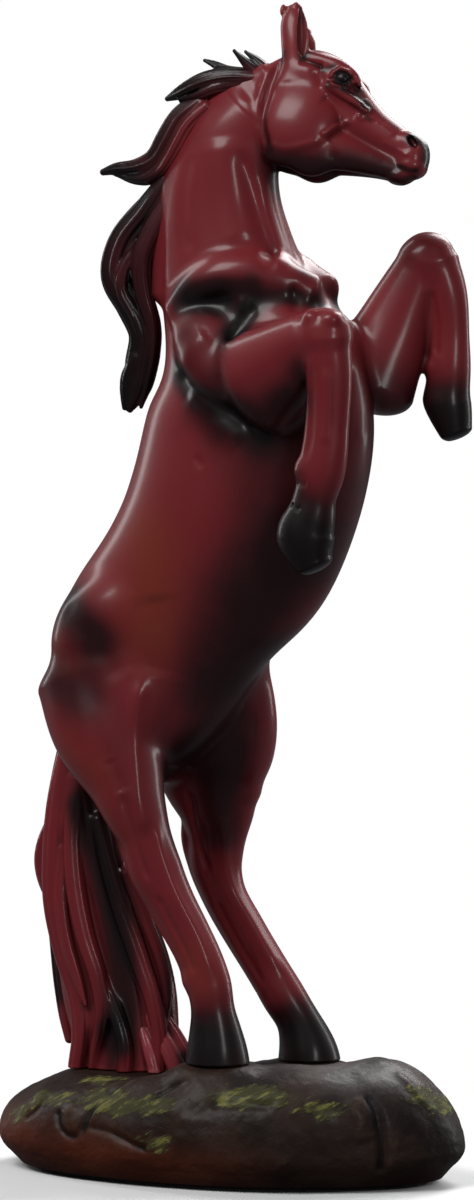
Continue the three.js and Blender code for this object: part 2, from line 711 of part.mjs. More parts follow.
// Neck and head, parted on a plane that runs from behind the ears to the throat
const aboveNeck = join([beyond(trunk, NECK_JOINT.at, NECK_JOINT.axis, half), headSolid()]);
const neck = before(aboveNeck, HEAD_JOINT.at, HEAD_JOINT.axis, half);
const head = beyond(aboveNeck, HEAD_JOINT.at, HEAD_JOINT.axis, half);
addPiece("neck", neck.subtract(join([neckPinHole, headPinHole])), materials.resin);
addPiece("head", head.subtract(headPinHole), materials.resin);

// Legs
function addForeleg(name, leg, joint) {
  const outer = beyond(forearm(leg), joint.at, joint.axis, half);
  const body = join([outer, foreShank(leg)]).subtract(grownTrunk);
  addPiece(name, body.subtract(forePinHole(joint)), materials.resin);
}
addForeleg("right_foreleg", RIGHT_FORE, RIGHT_FORE_JOINT);
addForeleg("left_foreleg", LEFT_FORE, LEFT_FORE_JOINT);
const hindLeg = (body) => beyond(body, HIND_JOINT.at, HIND_JOINT.axis, half).subtract(wireHoles);
addPiece("right_hind_leg", hindLeg(rightHind), materials.resin);
addPiece("left_hind_leg", hindLeg(leftHind), materials.resin);

// Mane, seated on the neck's crest
const maneSeat = join([grownTrunk, headSolid(GLUE_GAP)]);
const seated = (body, ...seats) => body.subtract(join(seats));
const flying = lockSolid(MANE_FLYING_LOCK);
const grownFlying = lockSolid(MANE_FLYING_LOCK, 10, GLUE_GAP);
const crest = lockSolid(MANE_CREST_LOCK);
const grownCrest = lockSolid(MANE_CREST_LOCK, 10, GLUE_GAP);
const lower = lockSolid(MANE_LOWER_LOCK, 14);
const tuft = lockSolid(MANE_POLL_TUFT);
addPiece("mane_crest_lock", seated(crest, maneSeat), materials.darkResin);
addPiece("mane_poll_tuft", seated(tuft, maneSeat, grownCrest), materials.darkResin);
addPiece("mane_flying_lock", seated(flying, maneSeat, grownCrest), materials.resin);
addPiece("mane_lower_lock", seated(lower, maneSeat, grownFlying), materials.darkResin);

// Tail, seated on the rump and the rock
const grownHind = (sections) => loft(sections, LEG_SIDES, LEG_RINGS, { grow: GLUE_GAP, dome: 0.7 });
const rump = join([grownTrunk, grownHind(RIGHT_HIND), grownHind(LEFT_HIND)]);
function tailBody(grow) {
  const fall = standingLoft(TAIL_MAIN, TAIL_SEAT_Z, TAIL_SIDES, 14, grow);
  const strands = TAIL_STRANDS.map((s) => loft(s, STRAND_SIDES, 2 * s.length, { grow, dome: 0.9 }));
  return join([fall, ...strands]).trimByPlane([0, 0, 1], TAIL_SEAT_Z);
}
const outerLock = loft(TAIL_OUTER_LOCK, LOCK_SIDES, 12, { dome: 0.9 });
const footLock = standingLoft(TAIL_FOOT_LOCK, TAIL_SEAT_Z, LOCK_SIDES, 6);
addPiece("tail", seated(tailBody(0), rump, tailPinHole), materials.resin);
addPiece("tail_outer_lock", seated(outerLock, tailBody(GLUE_GAP)), materials.resin);
addPiece("tail_foot_lock", seated(footLock, tailBody(GLUE_GAP)), materials.darkResin);

// Steel
const axisPin = (joint, diameter, length) => pinSolid(joint.at, joint.axis, diameter, length);
addPiece("neck_pin", axisPin(NECK_JOINT, NECK_PIN_DIAMETER, NECK_PIN_LENGTH), materials.steel);
addPiece("head_pin", axisPin(HEAD_JOINT, HEAD_PIN_DIAMETER, HEAD_PIN_LENGTH), materials.steel);
addPiece(
  "right_foreleg_pin",
  axisPin(RIGHT_FORE_JOINT, FORELEG_PIN_DIAMETER, FORELEG_PIN_LENGTH),
  materials.steel,
);
addPiece(
  "left_foreleg_pin",
  axisPin(LEFT_FORE_JOINT, FORELEG_PIN_DIAMETER, FORELEG_PIN_LENGTH),
  materials.steel,
);
addPiece("tail_pin", axisPin(TAIL_JOINT, TAIL_PIN_DIAMETER, TAIL_PIN_LENGTH), materials.steel);
addPiece(
  "right_leg_wire",
  solid(wireGeometry(RIGHT_HIND, RIGHT_SEAT_Z, WIRE_DIAMETER, 0)),
  materials.steel,
);
addPiece(
  "left_leg_wire",
  solid(wireGeometry(LEFT_HIND, LEFT_SEAT_Z, WIRE_DIAMETER, 0)),
  materials.steel,
);

export default figurine;
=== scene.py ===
"""A rearing horse in lacquered cold-cast resin on a mossy rock, dressed for a studio picture.

The script goes through the statue piece by piece: camera and light, the seven castings of the
horse's body, the mane, the tail, the rock, the felt, the steel inside, and the floor and the room.
Sizes are in millimetres until a mesh is made, which is in metres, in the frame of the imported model:
+Z up, +X the way the horse faces, +Y to its left.
"""
import math
from concurrent.futures import ThreadPoolExecutor

import bpy
import numpy as np
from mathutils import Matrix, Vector


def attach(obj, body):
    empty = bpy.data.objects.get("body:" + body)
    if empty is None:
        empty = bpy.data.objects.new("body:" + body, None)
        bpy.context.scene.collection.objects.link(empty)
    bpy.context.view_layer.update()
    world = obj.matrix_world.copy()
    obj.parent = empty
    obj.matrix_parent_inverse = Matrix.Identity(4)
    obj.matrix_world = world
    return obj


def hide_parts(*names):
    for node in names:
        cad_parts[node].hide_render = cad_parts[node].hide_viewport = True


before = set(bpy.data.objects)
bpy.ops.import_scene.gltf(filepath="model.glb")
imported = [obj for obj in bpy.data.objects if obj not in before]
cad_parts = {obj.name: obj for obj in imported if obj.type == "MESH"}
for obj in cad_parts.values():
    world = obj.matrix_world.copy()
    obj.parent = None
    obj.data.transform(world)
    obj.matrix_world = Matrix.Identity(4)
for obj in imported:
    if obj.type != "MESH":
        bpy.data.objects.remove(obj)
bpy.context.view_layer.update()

# Camera and light.
# The picture is a studio shot from the horse's right front, a little above table height, with a
# long lens. A softbox hangs in front on the left, a small one in front on the right and one behind,
# and two strips light the edges.
MM = 0.001
SHOT_AZIMUTH = math.radians(22.0)
SHOT_ELEVATION = math.radians(3.5)
SHOT_DISTANCE = 1.5
SHOT_TARGET = Vector((0.00136, 0.0, 0.1474))
FOCAL_LENGTH = 176.1


def placed(name, data):
    """An object for some data, linked to the scene."""
    obj = bpy.data.objects.new(name, data)
    bpy.context.scene.collection.objects.link(obj)
    return obj


away = Vector((
    math.sin(SHOT_AZIMUTH) * math.cos(SHOT_ELEVATION),
    -math.cos(SHOT_AZIMUTH) * math.cos(SHOT_ELEVATION),
    math.sin(SHOT_ELEVATION),
))
camera = placed("shot", bpy.data.cameras.new("shot"))
camera.data.lens = FOCAL_LENGTH
camera.data.sensor_width = 36.0
camera.data.clip_start = 0.05
camera.data.clip_end = 20.0
camera.location = SHOT_TARGET + away * SHOT_DISTANCE
camera.rotation_euler = (-away).to_track_quat("-Z", "Y").to_euler()
bpy.context.scene.camera = camera
bpy.context.scene.view_settings.view_transform = "Standard"


def softbox(name, azimuth, elevation, distance, width, height, power):
    """A rectangular area lamp on a sphere about the statue's middle, facing it. Its azimuth is counted
    in degrees from the camera's, to the camera's right, and its elevation from the table."""
    a, e = SHOT_AZIMUTH + math.radians(azimuth), math.radians(elevation)
    out = Vector((math.sin(a) * math.cos(e), -math.cos(a) * math.cos(e), math.sin(e)))
    lamp = placed(name, bpy.data.lights.new(name, "AREA"))
    lamp.data.shape = "RECTANGLE"
    lamp.data.size, lamp.data.size_y = width, height
    lamp.data.energy = power
    lamp.location = SHOT_TARGET + out * distance
    lamp.rotation_euler = (-out).to_track_quat("-Z", "Y").to_euler()


softbox("front_softbox", -48, 48, 1.3, 0.6, 0.6, 12)
softbox("front_window", 20, 16, 1.2, 0.2, 0.3, 2.4)
softbox("left_strip", -125, 25, 1.1, 0.2, 1.0, 4)
softbox("right_strip", 112, 20, 1.1, 0.2, 1.0, 5)
softbox("back_softbox", 148, 44, 1.1, 0.5, 0.8, 13)


# The torso.
# A deep-chested barrel of cast resin from the pelvis to the withers, with the shoulders, hips and
# thighs modelled on it. It was cast with the rest of the horse's body from one clay model, so all
# seven castings are cut from one distance field, in which the muscles flow into each other.
def smooth_path(rows, spacing=1.0, blur=2.0):
    """Rows of numbers carried along their first three as a curve: a cubic through the rows whose
    slope at each is that of its neighbours' chord, sampled evenly and blurred along its length."""
    rows = np.asarray(rows, float)
    step = np.linalg.norm(np.diff(rows[:, :3], axis=0), axis=1)
    s = np.concatenate([[0.0], np.cumsum(step)])
    slope = np.gradient(rows, s, axis=0)
    t = np.linspace(0, s[-1], max(4, int(round(s[-1] / spacing)) + 1))
    i = np.clip(np.searchsorted(s, t, side="right") - 1, 0, len(s) - 2)
    h = (s[i + 1] - s[i])[:, None]
    x = (t - s[i])[:, None] / h
    out = (rows[i] * (1 + 2 * x) * (1 - x) ** 2 + rows[i + 1] * x * x * (3 - 2 * x)
           + h * (slope[i] * x * (1 - x) ** 2 - slope[i + 1] * x * x * (1 - x)))
    if blur > 0:
        gap = s[-1] / (len(t) - 1)
        reach = int(3 * blur / gap) + 1
        k = np.exp(-0.5 * (np.arange(-reach, reach + 1) * gap / blur) ** 2)
        k /= k.sum()
        steps = np.arange(1, reach + 1)[:, None]
        before = out[0] - (out[1] - out[0]) * steps[::-1]
        after = out[-1] + (out[-1] - out[-2]) * steps
        padded = np.concatenate([before, out, after])
        out = np.stack([np.convolve(c, k, "valid") for c in padded.T], axis=1)
    return out


def unit(v):
    """Vectors divided by their lengths."""
    return v / np.maximum(np.linalg.norm(v, axis=-1, keepdims=True), 1e-12)


def sweep(rows, blend, dome=0.7, side=(0, 1, 0), relief=None, spacing=1.0, blur=2.0, guide=0.0):
    """A part of a field: ellipses (x, y, z, half deep, half wide) carried along a curve. The distance
    is that of an ellipsoid about the nearest point of the curve, k0 (k0 - 1) / k1 with k0 the length
    of the offset over the half sizes and k1 that over their squares. relief adds to the distance
    from the place along the curve, 0 to 1, and the angle round it. Where a thick part bends, guide
    blurs the line that the sections are square to, so that they don't cross inside the bend."""
    path = smooth_path(rows, spacing, blur)
    line = smooth_path(rows, spacing, max(blur, guide))[:, :3]
    ahead = unit(np.gradient(line, axis=0))
    path[:, :3] -= ((path[:, :3] - line) * ahead).sum(1, keepdims=True) * ahead
    across = unit(np.asarray(side, float) - ahead * (ahead @ np.asarray(side, float))[:, None])
    front = np.cross(across, ahead)
    table = np.concatenate([path, front, across, ahead], axis=1)
    count = len(path)
    line_squared = (line ** 2).sum(1)

    def distance(p):
        # the nearest point of the line: the squares of p are the same for all, and are left out
        near = np.argmin(line_squared - 2 * p @ line.T, axis=1)
        past = ((p - line[near]) * ahead[near]).sum(1) >= 0
        i = np.clip(np.where(past, near, near - 1), 0, count - 2)
        s0 = ((p - line[i]) * ahead[i]).sum(1)
        s1 = ((p - line[i + 1]) * ahead[i + 1]).sum(1)
        t = np.clip(s0 / np.where(np.abs(s0 - s1) < 1e-9, 1e-9, s0 - s1), 0, 1)
        # the section there, from the four around it by a cubic through the middle two
        w = (0.5 * t * (-1 + t * (2 - t)), 1 + 0.5 * t * t * (3 * t - 5),
             0.5 * t * (1 + t * (4 - 3 * t)), 0.5 * t * t * (t - 1))
        rows_at = sum(w[n][:, None] * table[np.clip(i + n - 1, 0, count - 1)] for n in range(4))
        q = p - rows_at[:, :3]
        x = (q * rows_at[:, 5:8]).sum(1)
        y = (q * rows_at[:, 8:11]).sum(1)
        z = (q * rows_at[:, 11:14]).sum(1)
        a, b = rows_at[:, 3], rows_at[:, 4]
        c = dome * np.minimum(a, b)
        k0 = np.sqrt((x / a) ** 2 + (y / b) ** 2 + (z / c) ** 2) + 1e-9
        k1 = np.sqrt((x / a / a) ** 2 + (y / b / b) ** 2 + (z / c / c) ** 2) + 1e-9
        d = k0 * (k0 - 1) / k1
        if relief is not None:
            d = d + relief((i + t) / (count - 1), np.arctan2(y / b, x / a)) * np.minimum(k0, 1)
        return d

    reach = np.maximum(path[:, 3], path[:, 4])[:, None] + blend + 5
    return distance, (path[:, :3] - reach).min(0), (path[:, :3] + reach).max(0), blend


def ball(middle, half, blend, along=(1, 0, 0), out=(0, 0, 1)):
    """A part of a field: an ellipsoid with its half sizes along its long axis, across, and out."""
    e1 = unit(np.asarray(along, float))
    e3 = np.asarray(out, float)
    e3 = unit(e3 - e1 * (e3 @ e1))
    axes = np.stack([e1, np.cross(e3, e1), e3])
    middle, half = np.asarray(middle, float), np.asarray(half, float)

    def distance(p):
        q = (p - middle) @ axes.T
        k0 = np.linalg.norm(q / half, axis=1) + 1e-9
        k1 = np.linalg.norm(q / half ** 2, axis=1) + 1e-9
        return k0 * (k0 - 1) / k1

    reach = half.max() + blend + 5
    return distance, middle - reach, middle + reach, blend


def muscle(start, end, wide, thick, blend, out=(0, -1, 0)):
    """A ball that lies from one point to another, thick along out and wide across it."""
    start, end = np.asarray(start, float), np.asarray(end, float)
    long = np.linalg.norm(end - start) / 2
    return ball((start + end) / 2, (long, wide, thick), blend, end - start, out)


def mirrored(parts):
    """The same parts on the other side of the horse's middle plane."""
    flip = np.array([1.0, -1.0, 1.0])
    return [(lambda p, d=d: d(p * flip), np.minimum(lo * flip, hi * flip),
             np.maximum(lo * flip, hi * flip), blend) for d, lo, hi, blend in parts]


def in_box(p, lo, hi):
    """Which of a batch of points lie in a box: an array of their numbers, or None when none can."""
    if (p.min(0) > hi).any() or (p.max(0) < lo).any():
        return None
    x, y, z = p.T
    m = np.nonzero((x > lo[0]) & (x < hi[0]) & (y > lo[1]) & (y < hi[1]) & (z > lo[2]) & (z < hi[2]))[0]
    return m if len(m) else None


def line_distance(p, line):
    """Distance from points to a run of straight pieces, and how far along it, 0 to 1."""
    step = np.linalg.norm(np.diff(line, axis=0), axis=1)
    start = np.concatenate([[0.0], np.cumsum(step)])
    best = np.full(len(p), 1e9)
    at = np.zeros(len(p))
    for i in range(len(step)):
        a, ab = line[i], line[i + 1] - line[i]
        t = np.clip(((p - a) @ ab) / (ab @ ab), 0, 1)
        d = np.linalg.norm(p - a - t[:, None] * ab, axis=1)
        nearer = d < best
        best = np.where(nearer, d, best)
        at = np.where(nearer, (start[i] + t * step[i]) / start[-1], at)
    return best, at


def stroke(points, width, height, ends=0.15):
    """A soft ridge (height over 0) or groove (under 0) along a line, bell-shaped across it. It fades
    over a share of its length at both ends, or with ends 0 is rounded off past them."""
    line = smooth_path(points, spacing=2.0, blur=0.0) if len(points) > 2 else np.asarray(points, float)

    def amount(p):
        value = np.zeros(len(p))
        m = in_box(p, line.min(0) - 3 * width, line.max(0) + 3 * width)
        if m is not None:
            d, at = line_distance(p[m], line)
            fade = np.clip(np.minimum(at, 1 - at) / ends, 0, 1) if ends else 1.0
            value[m] = height * np.exp(-(d / width) ** 2) * (fade * fade * (3 - 2 * fade))
        return value

    return amount


def side_stroke(points, width, height, side=0, ends=0.15):
    """A stroke drawn on the horse's side: a line of (x, z) that marks the skin wherever it lies, on both
    sides, or with side -1 on the right alone and with 1 on the left alone."""
    drawn = stroke([(x, 0, z) for x, z in points], width, height, ends)

    def amount(p):
        y = np.abs(p[:, 1]) if side == 0 else p[:, 1] * side
        return drawn(p * np.array([1.0, 0.0, 1.0])) * np.clip(y / 3 - 1, 0, 1)

    return amount


def field_of(parts, strokes=(), cuts=(), start=None):
    """Smooth union of parts, less the strokes and the cuts. The union of a and b with blend k is their
    smaller one less k h (1 - h), where h goes from 0 to 1 as a - b goes from k to -k; a cut takes the
    larger of the field and the cut part's opposite in the same way. start is a field already known."""
    def field(p):
        f = np.full(len(p), 40.0) if start is None else start.copy()
        for distance, lo, hi, k in parts:
            m = in_box(p, lo, hi)
            if m is None:
                continue
            d = distance(p[m])
            h = np.clip(0.5 + 0.5 * (f[m] - d) / k, 0, 1)
            f[m] = f[m] + (d - f[m]) * h - k * h * (1 - h)
        for amount in strokes:
            f -= amount(p)
        for distance, lo, hi, k in cuts:
            m = in_box(p, lo, hi)
            if m is None:
                continue
            d = -distance(p[m])
            h = np.clip(0.5 + 0.5 * (d - f[m]) / k, 0, 1)
            f[m] = f[m] + (d - f[m]) * h + k * h * (1 - h)
        return f

    return field


# what the sections below add to: parts of the one field, ridges and grooves on it, lines of black
# spray, some of them painted shade, and of amber glaze, and the castings (node, box, grid step, glue lines)
# that are cut from it
body = []
folds = []
black = []
amber = []
castings = []

# sections of the trunk and neck: middle x, y, z, half depth, half width
TRUNK = [
    (-27, 0, 110, 15, 14),
    (-22.3, 0, 121, 21.5, 17.5),
    (-21, 0, 134.6, 27, 19),
    (-12.8, 0, 147, 26.7, 19.5),
    (-1.8, 0, 161, 29.8, 20.5),
    (3, 0, 172, 30.3, 21),
    (6.5, 0, 184.5, 30.6, 20.5),
    (8.2, 0, 197, 29.7, 20),
    (7.3, 0, 209, 25.8, 18.5),
    (3, 0, 220.6, 21.2, 16),
    (-0.6, 0, 231, 18.8, 13.5),
    (-2, 0, 241, 17, 11.5),
    (-2.8, 0, 250, 15.7, 10.2),
    (-1, 0, 259, 13.9, 9.3),
    (2.6, 0, 266.5, 11.8, 8.3),
    (7, 0, 271, 9.6, 7),
]
COLLAR = [
    (-10, -12, 221, 3.4, 4),
    (-4.5, -13, 226.6, 3.8, 4.4),
    (2, -13, 230, 4, 4.8),
    (9, -11.6, 230.8, 4, 5),
    (16, -9, 229.4, 4.2, 5),
    (23, -5.6, 226.2, 4.2, 4.8),
]
right_muscles = [
    sweep(COLLAR, 4, side=(0, 0.3, 1)),
    # shoulder blade, upper arm and breast
    muscle((-7, -13.5, 221), (5, -16.5, 205), 8, 6, 4),
    muscle((-4, -15, 214), (9, -18, 198), 8, 6.5, 3),
    muscle((12, -8, 222), (32, -10, 204), 9, 8, 4, out=(1, -0.6, 0.3)),
    # loin, hip bone, rump and hamstrings
    ball((-27, -11, 145), (7, 7, 6), 7),
    muscle((-30, -10.5, 150), (-36, -10.5, 122), 12, 9, 6),
    muscle((-40, -9, 134), (-33.5, -13.5, 107), 7, 7, 4),
]
body += [sweep(TRUNK, 3, blur=4, guide=10)] + right_muscles + mirrored(right_muscles)
trunk_alone = field_of(body)

folds += [
    # hollow under the shoulder's crest, and the knob in front of it
    side_stroke([(-5, 223.6), (2.5, 223)], 4.6, -1.3, ends=0),
    side_stroke([(9, 223.6), (9.6, 222.6)], 2, 0.7, ends=0),
    # folds that run from the breast down behind the forearm
    stroke([(12.5, -15, 223.5), (9.4, -17.4, 218.5), (7.4, -18.8, 213), (8, -20, 207)], 1.6, -1.2),
    stroke([(20, -9, 228.6), (22, -11.5, 224.5), (22.5, -13.5, 220.6)], 1.5, -0.7),
    # a pit on the ribs, the crease where the upper arm lies on them, and folds of skin beside it
    stroke([(-1.5, -20.4, 184), (-0.6, -20.6, 183)], 1, -0.5, ends=0),
    side_stroke([(-9, 207), (-6, 204.6), (-2.7, 202.4), (2.9, 199.2), (8.6, 195), (14, 191)], 1.7, -0.9),
    side_stroke([(-5.5, 200.5), (-0.2, 196.6), (6, 191.5), (11, 188)], 2.8, 0.5),
    side_stroke([(1.5, 216), (-3, 211), (-5.5, 206.5)], 2.6, 0.5),
    # flank, hip and the hamstrings' edge
    side_stroke([(-14, 150), (-12.5, 140), (-14.5, 128)], 5, -0.7),
    side_stroke([(-41, 146), (-34, 141), (-27, 134), (-22, 127)], 3.2, -0.5),
    side_stroke([(-31, 138), (-30.5, 128), (-28, 116), (-24, 104)], 3.6, -0.45, side=-1),
    side_stroke([(-27, 138), (-24, 128), (-19, 116), (-16, 104)], 3.6, -0.45, side=1),
    side_stroke([(-38, 136), (-39, 128), (-36, 118), (-31, 107)], 2.8, -0.25),
    # the spine over the loins and rump, and the breast
    stroke([(-26, 0, 168), (-36, 0, 158), (-44, 0, 146), (-49, 0, 132)], 2.6, -0.7),
    stroke([(33, 0, 222), (39, 0, 210), (41, 0, 196)], 2, -1),
]


def both_sides(amount):
    """A sprayed line of the right side, repeated on the left one."""
    def there(p):
        x, y, z = p.T
        return amount(np.stack([x, -np.abs(y), z], axis=1))

    return there


# where the airbrush went with black: along a line, with the width of the spray and its strength
black += [both_sides(line) for line in (
    # hollow under the shoulder's crest, the folds in front of it and the streaks over the breast
    stroke([(-6, -13, 224.5), (3, -14, 224)], 5, 1.1, ends=0),
    stroke([(11, -15, 223), (8.6, -17.4, 218), (7, -18.8, 212), (8, -20, 206)], 3.4, 1.1, ends=0),
    stroke([(13, -13, 224), (21, -10, 224.5), (27, -6, 223)], 2.8, 0.8, ends=0),
    stroke([(-5, -15, 226), (3, -16, 227.5), (11, -15, 227.5)], 3, 0.5, ends=0),
    stroke([(11, -12, 229), (17, -9.5, 228), (23, -4, 226)], 3.2, 0.75, ends=0),
    # upper arm, and the crease where it lies on the ribs
    stroke([(-4, -18, 214), (0, -20, 206), (6, -22, 200)], 6, 0.4, ends=0),
    stroke([(-9, -15, 206.5), (-3, -17.5, 202), (3, -19, 198), (10, -20, 193), (16, -19, 190)],
           3.8, 1, ends=0),
    stroke([(-3, -18, 196), (4, -20, 190)], 5, 0.3, ends=0),
    # hip and rump, in soft bands that run down to the flank
    stroke([(-50, -3, 150), (-43, -11, 148), (-34, -16, 142), (-26, -18.5, 134), (-20, -18, 126)],
           7, 0.72, ends=0.4),
    stroke([(-52, -2, 133), (-47, -8, 130), (-40, -16, 126), (-32, -20, 120), (-24, -22, 114)],
           8, 0.52, ends=0.4),
    stroke([(-44, -2, 120), (-38, -6, 108), (-33, -8, 100)], 5, 0.8, ends=0),
)]
black += [
    # outer side of the near thigh, thinly
    stroke([(-30, -20, 126), (-23, -22, 112), (-18, -23, 98)], 7, 0.22, ends=0),
    # belly: dark from the forelegs back to the groin, up to a line along the flank, partly black airbrush
    # and partly painted shade of the underside
    stroke([(26, -19, 198), (30, -16, 186), (33, -12, 172), (31, -10, 158)], 13, 0.42, ends=0),
    stroke([(15, -20, 186), (15, -19, 168), (9, -18, 152)], 12, 0.34, ends=0),
    stroke([(22, -14, 158), (14, -16, 148), (6, -17, 138), (0, -16, 128)], 13, 0.45, ends=0),
    stroke([(10, -2, 134), (4, -4, 124), (-2, -2, 112), (-8, -2, 104)], 12, 0.6, ends=0),
    stroke([(38, 6, 200), (38, 6, 186), (36, 6, 170), (28, 8, 152)], 10, 0.45, ends=0),
    stroke([(18, 18, 180), (14, 18, 164), (8, 17, 148), (2, 16, 136)], 10, 0.3, ends=0),
]
# and with a thin amber glaze
amber += [
    stroke([(-16, -19, 164), (-14, -20, 152), (-14, -20, 140)], 9, 1, ends=0),
    stroke([(-42, -14, 136), (-37, -18, 130)], 4, 0.6, ends=0),
    stroke([(-36, -18, 112), (-28, -22, 104)], 5, 0.7, ends=0),
    stroke([(-20, 19, 150), (-8, 20, 140)], 8, 0.6, ends=0),
]


def torso_cut(p):
    """Under nought on the torso: below the neck's glue line, above the hind legs', not on a foreleg."""
    right = np.where(p[:, 1] < 0, right_fore_cut(p), 9)
    left = np.where(p[:, 1] > 0, left_fore_cut(p), 9)
    return np.maximum.reduce([past(NECK_JOINT, p), HIND_JOINT_Z - p[:, 2], -right, -left])


castings.append(("torso", (-62, -42, 88), (66, 34, 250), 0.8, torso_cut))


# The neck.
# Arched and drawn back, with a thick crest under the mane, a long flat muscle on either side, and
# the windpipe standing out in front. It is glued to the withers and to the throat.
NECK_JOINT = (np.array([0.0, 0.0, 231.0]), unit(np.array([-0.26, 0.0, 0.965])))
NUCHAL_CREST = [
    (10, 0, 280.5, 3.6, 3),
    (3, 0, 277, 4.2, 3.2),
    (-3.5, 0, 272, 4.6, 3.4),
    (-9, 0, 265.5, 4.6, 3.6),
    (-13.3, 0, 258, 4.6, 3.8),
    (-15.8, 0, 249, 4.8, 4.2),
    (-17, 0, 238, 5, 4.8),
    (-17, 0, 226, 5, 5.4),
]
body.append(sweep(NUCHAL_CREST, 3))
folds += [
    # jugular groove, windpipe, the long muscle, and its edge
    side_stroke([(5, 263), (7, 255), (9.5, 246), (13, 237), (17, 230)], 1.7, -0.8),
    side_stroke([(10.5, 256), (12.5, 247), (15.5, 238), (19, 231)], 1.8, 0.5),
    side_stroke([(0, 266), (1.5, 255), (4, 245), (7, 237)], 4.5, 0.7),
    side_stroke([(-8, 262), (-9.5, 252), (-9, 243), (-6, 235)], 1.8, -0.35),
]
black += [
    # crest under the mane, and the windpipe's groove
    stroke([(-12, 0, 274), (-20, 0, 256), (-24, 0, 238), (-24, 0, 216), (-23, 0, 202)], 6, 0.8, ends=0),
    stroke([(17, -6, 250), (20, -8, 240), (25, -9, 232)], 3, 0.6, ends=0),
    stroke([(12, 2, 256), (18, 2, 244), (24, 2, 234)], 3.6, 0.4, ends=0),
]


def past(joint, p):
    """How far points lie beyond a glue line, along the way the outer casting leaves."""
    return (p - joint[0]) @ joint[1]


def neck_cut(p):
    """Under nought on the neck: between its two glue lines."""
    return np.maximum(-past(NECK_JOINT, p), past(HEAD_JOINT, p))


castings.append(("neck", (-32, -24, 222), (34, 24, 296), 0.6, neck_cut))


# The head.
# Seen from its right, rolled so that the poll leans to the left, ears up and close together. It is
# modelled upright and the same on both sides, in its own frame, and then rolled into place.
HEAD_JOINT = (np.array([6.0, 0.0, 266.3]), unit(np.array([0.85, 0.0, 0.52])))
HEAD_ROLL = 0.3
HEAD_PIVOT = np.array([16.0, 0.0, 268.0])
HEAD_AXIS = unit(np.array([-0.94, 0.0, 0.33]))
MIDDLE_ROUND = 0.7
SKULL = [
    (9, 0, 272.5, 9.5, 6.2),
    (15.5, 0, 276, 10.6, 7.3),
    (21, 0, 277.2, 11, 7.7),
    (26, 0, 275.8, 9.8, 7.3),
    (31.5, 0, 271.8, 7.3, 5.9),
    (37.5, 0, 267.7, 5.2, 4.6),
    (43.5, 0, 264.2, 4.4, 4.1),
    (49, 0, 261, 4, 3.9),
]
JAW = [
    (15, 3.4, 265, 8, 3.6),
    (22, 3.6, 263, 7.4, 3.4),
    (29.5, 2.7, 260.8, 5, 3),
    (36, 1.8, 258.9, 3.6, 2.6),
    (42, 1.2, 257.2, 2.8, 2.3),
    (46.5, 0.8, 255.8, 2.7, 2.2),
]
BROW = [
    (16, 5, 285.6, 1.2, 1),
    (20.5, 5.6, 284.8, 1.5, 1.2),
    (25, 6, 283.4, 1.6, 1.3),
    (29.6, 5.8, 282, 1.5, 1.3),
    (33.2, 5, 279.6, 1.1, 1.1),
    (34.4, 4.6, 277.2, 0.7, 0.7),
]
CHEEK_BONE = [
    (26, 6.8, 277, 0.9, 0.9),
    (29.4, 6.9, 275.4, 1.3, 1.3),
    (33.4, 6, 273, 1.2, 1.2),
    (37, 4.9, 270.8, 0.9, 0.9),
]
NOSTRIL = (49.4, 4.2, 263)
right_head = [
    sweep(SKULL, 2.5, dome=0.8, blur=1.5, guide=8),
    sweep(JAW, 2.5, dome=0.8, blur=1.5),
    # cheek with its flat disc, jowl, temple, brow and cheek bone
    ball((19, 3.8, 266.8), (10.4, 5.6, 9.8), 2),
    ball((19.8, 5.4, 268.4), (9.4, 3.6, 8.8), 1.6),
    ball((23.4, 3, 259.2), (6, 3.2, 5.2), 1.6),
    ball((21, 5.4, 281), (4.4, 2.2, 2.6), 1.8, along=(1, 0, -0.3)),
    ball((28.6, 4.6, 280.2), (4.2, 2.6, 3.2), 1.8, along=(1, 0, -0.6)),
    sweep(BROW, 1.2, blur=0.6),
    sweep(CHEEK_BONE, 1.2, blur=0.6),
    # muzzle, nostril, lips and chin
    ball((49, 0.4, 259.6), (3.9, 3.9, 5.2), 1.6),
    ball((48.4, 2.5, 263.2), (3.4, 1.9, 2.3), 1, along=(0.85, 0, -0.5)),
    ball((48.8, 1.2, 257.2), (3.4, 2.9, 2.2), 0.8),
    ball((46, 0.7, 254.9), (3.4, 2.6, 1.9), 0.6, along=(1, 0, 0.1)),
    # eye
    ball((30.3, 5.1, 278.8), (2.1, 2.1, 1.8), 0.3),
]
head_cuts = [
    ball(NOSTRIL, (1.9, 1.7, 0.8), 0.5, along=(0.6, 0, -0.8)),
]
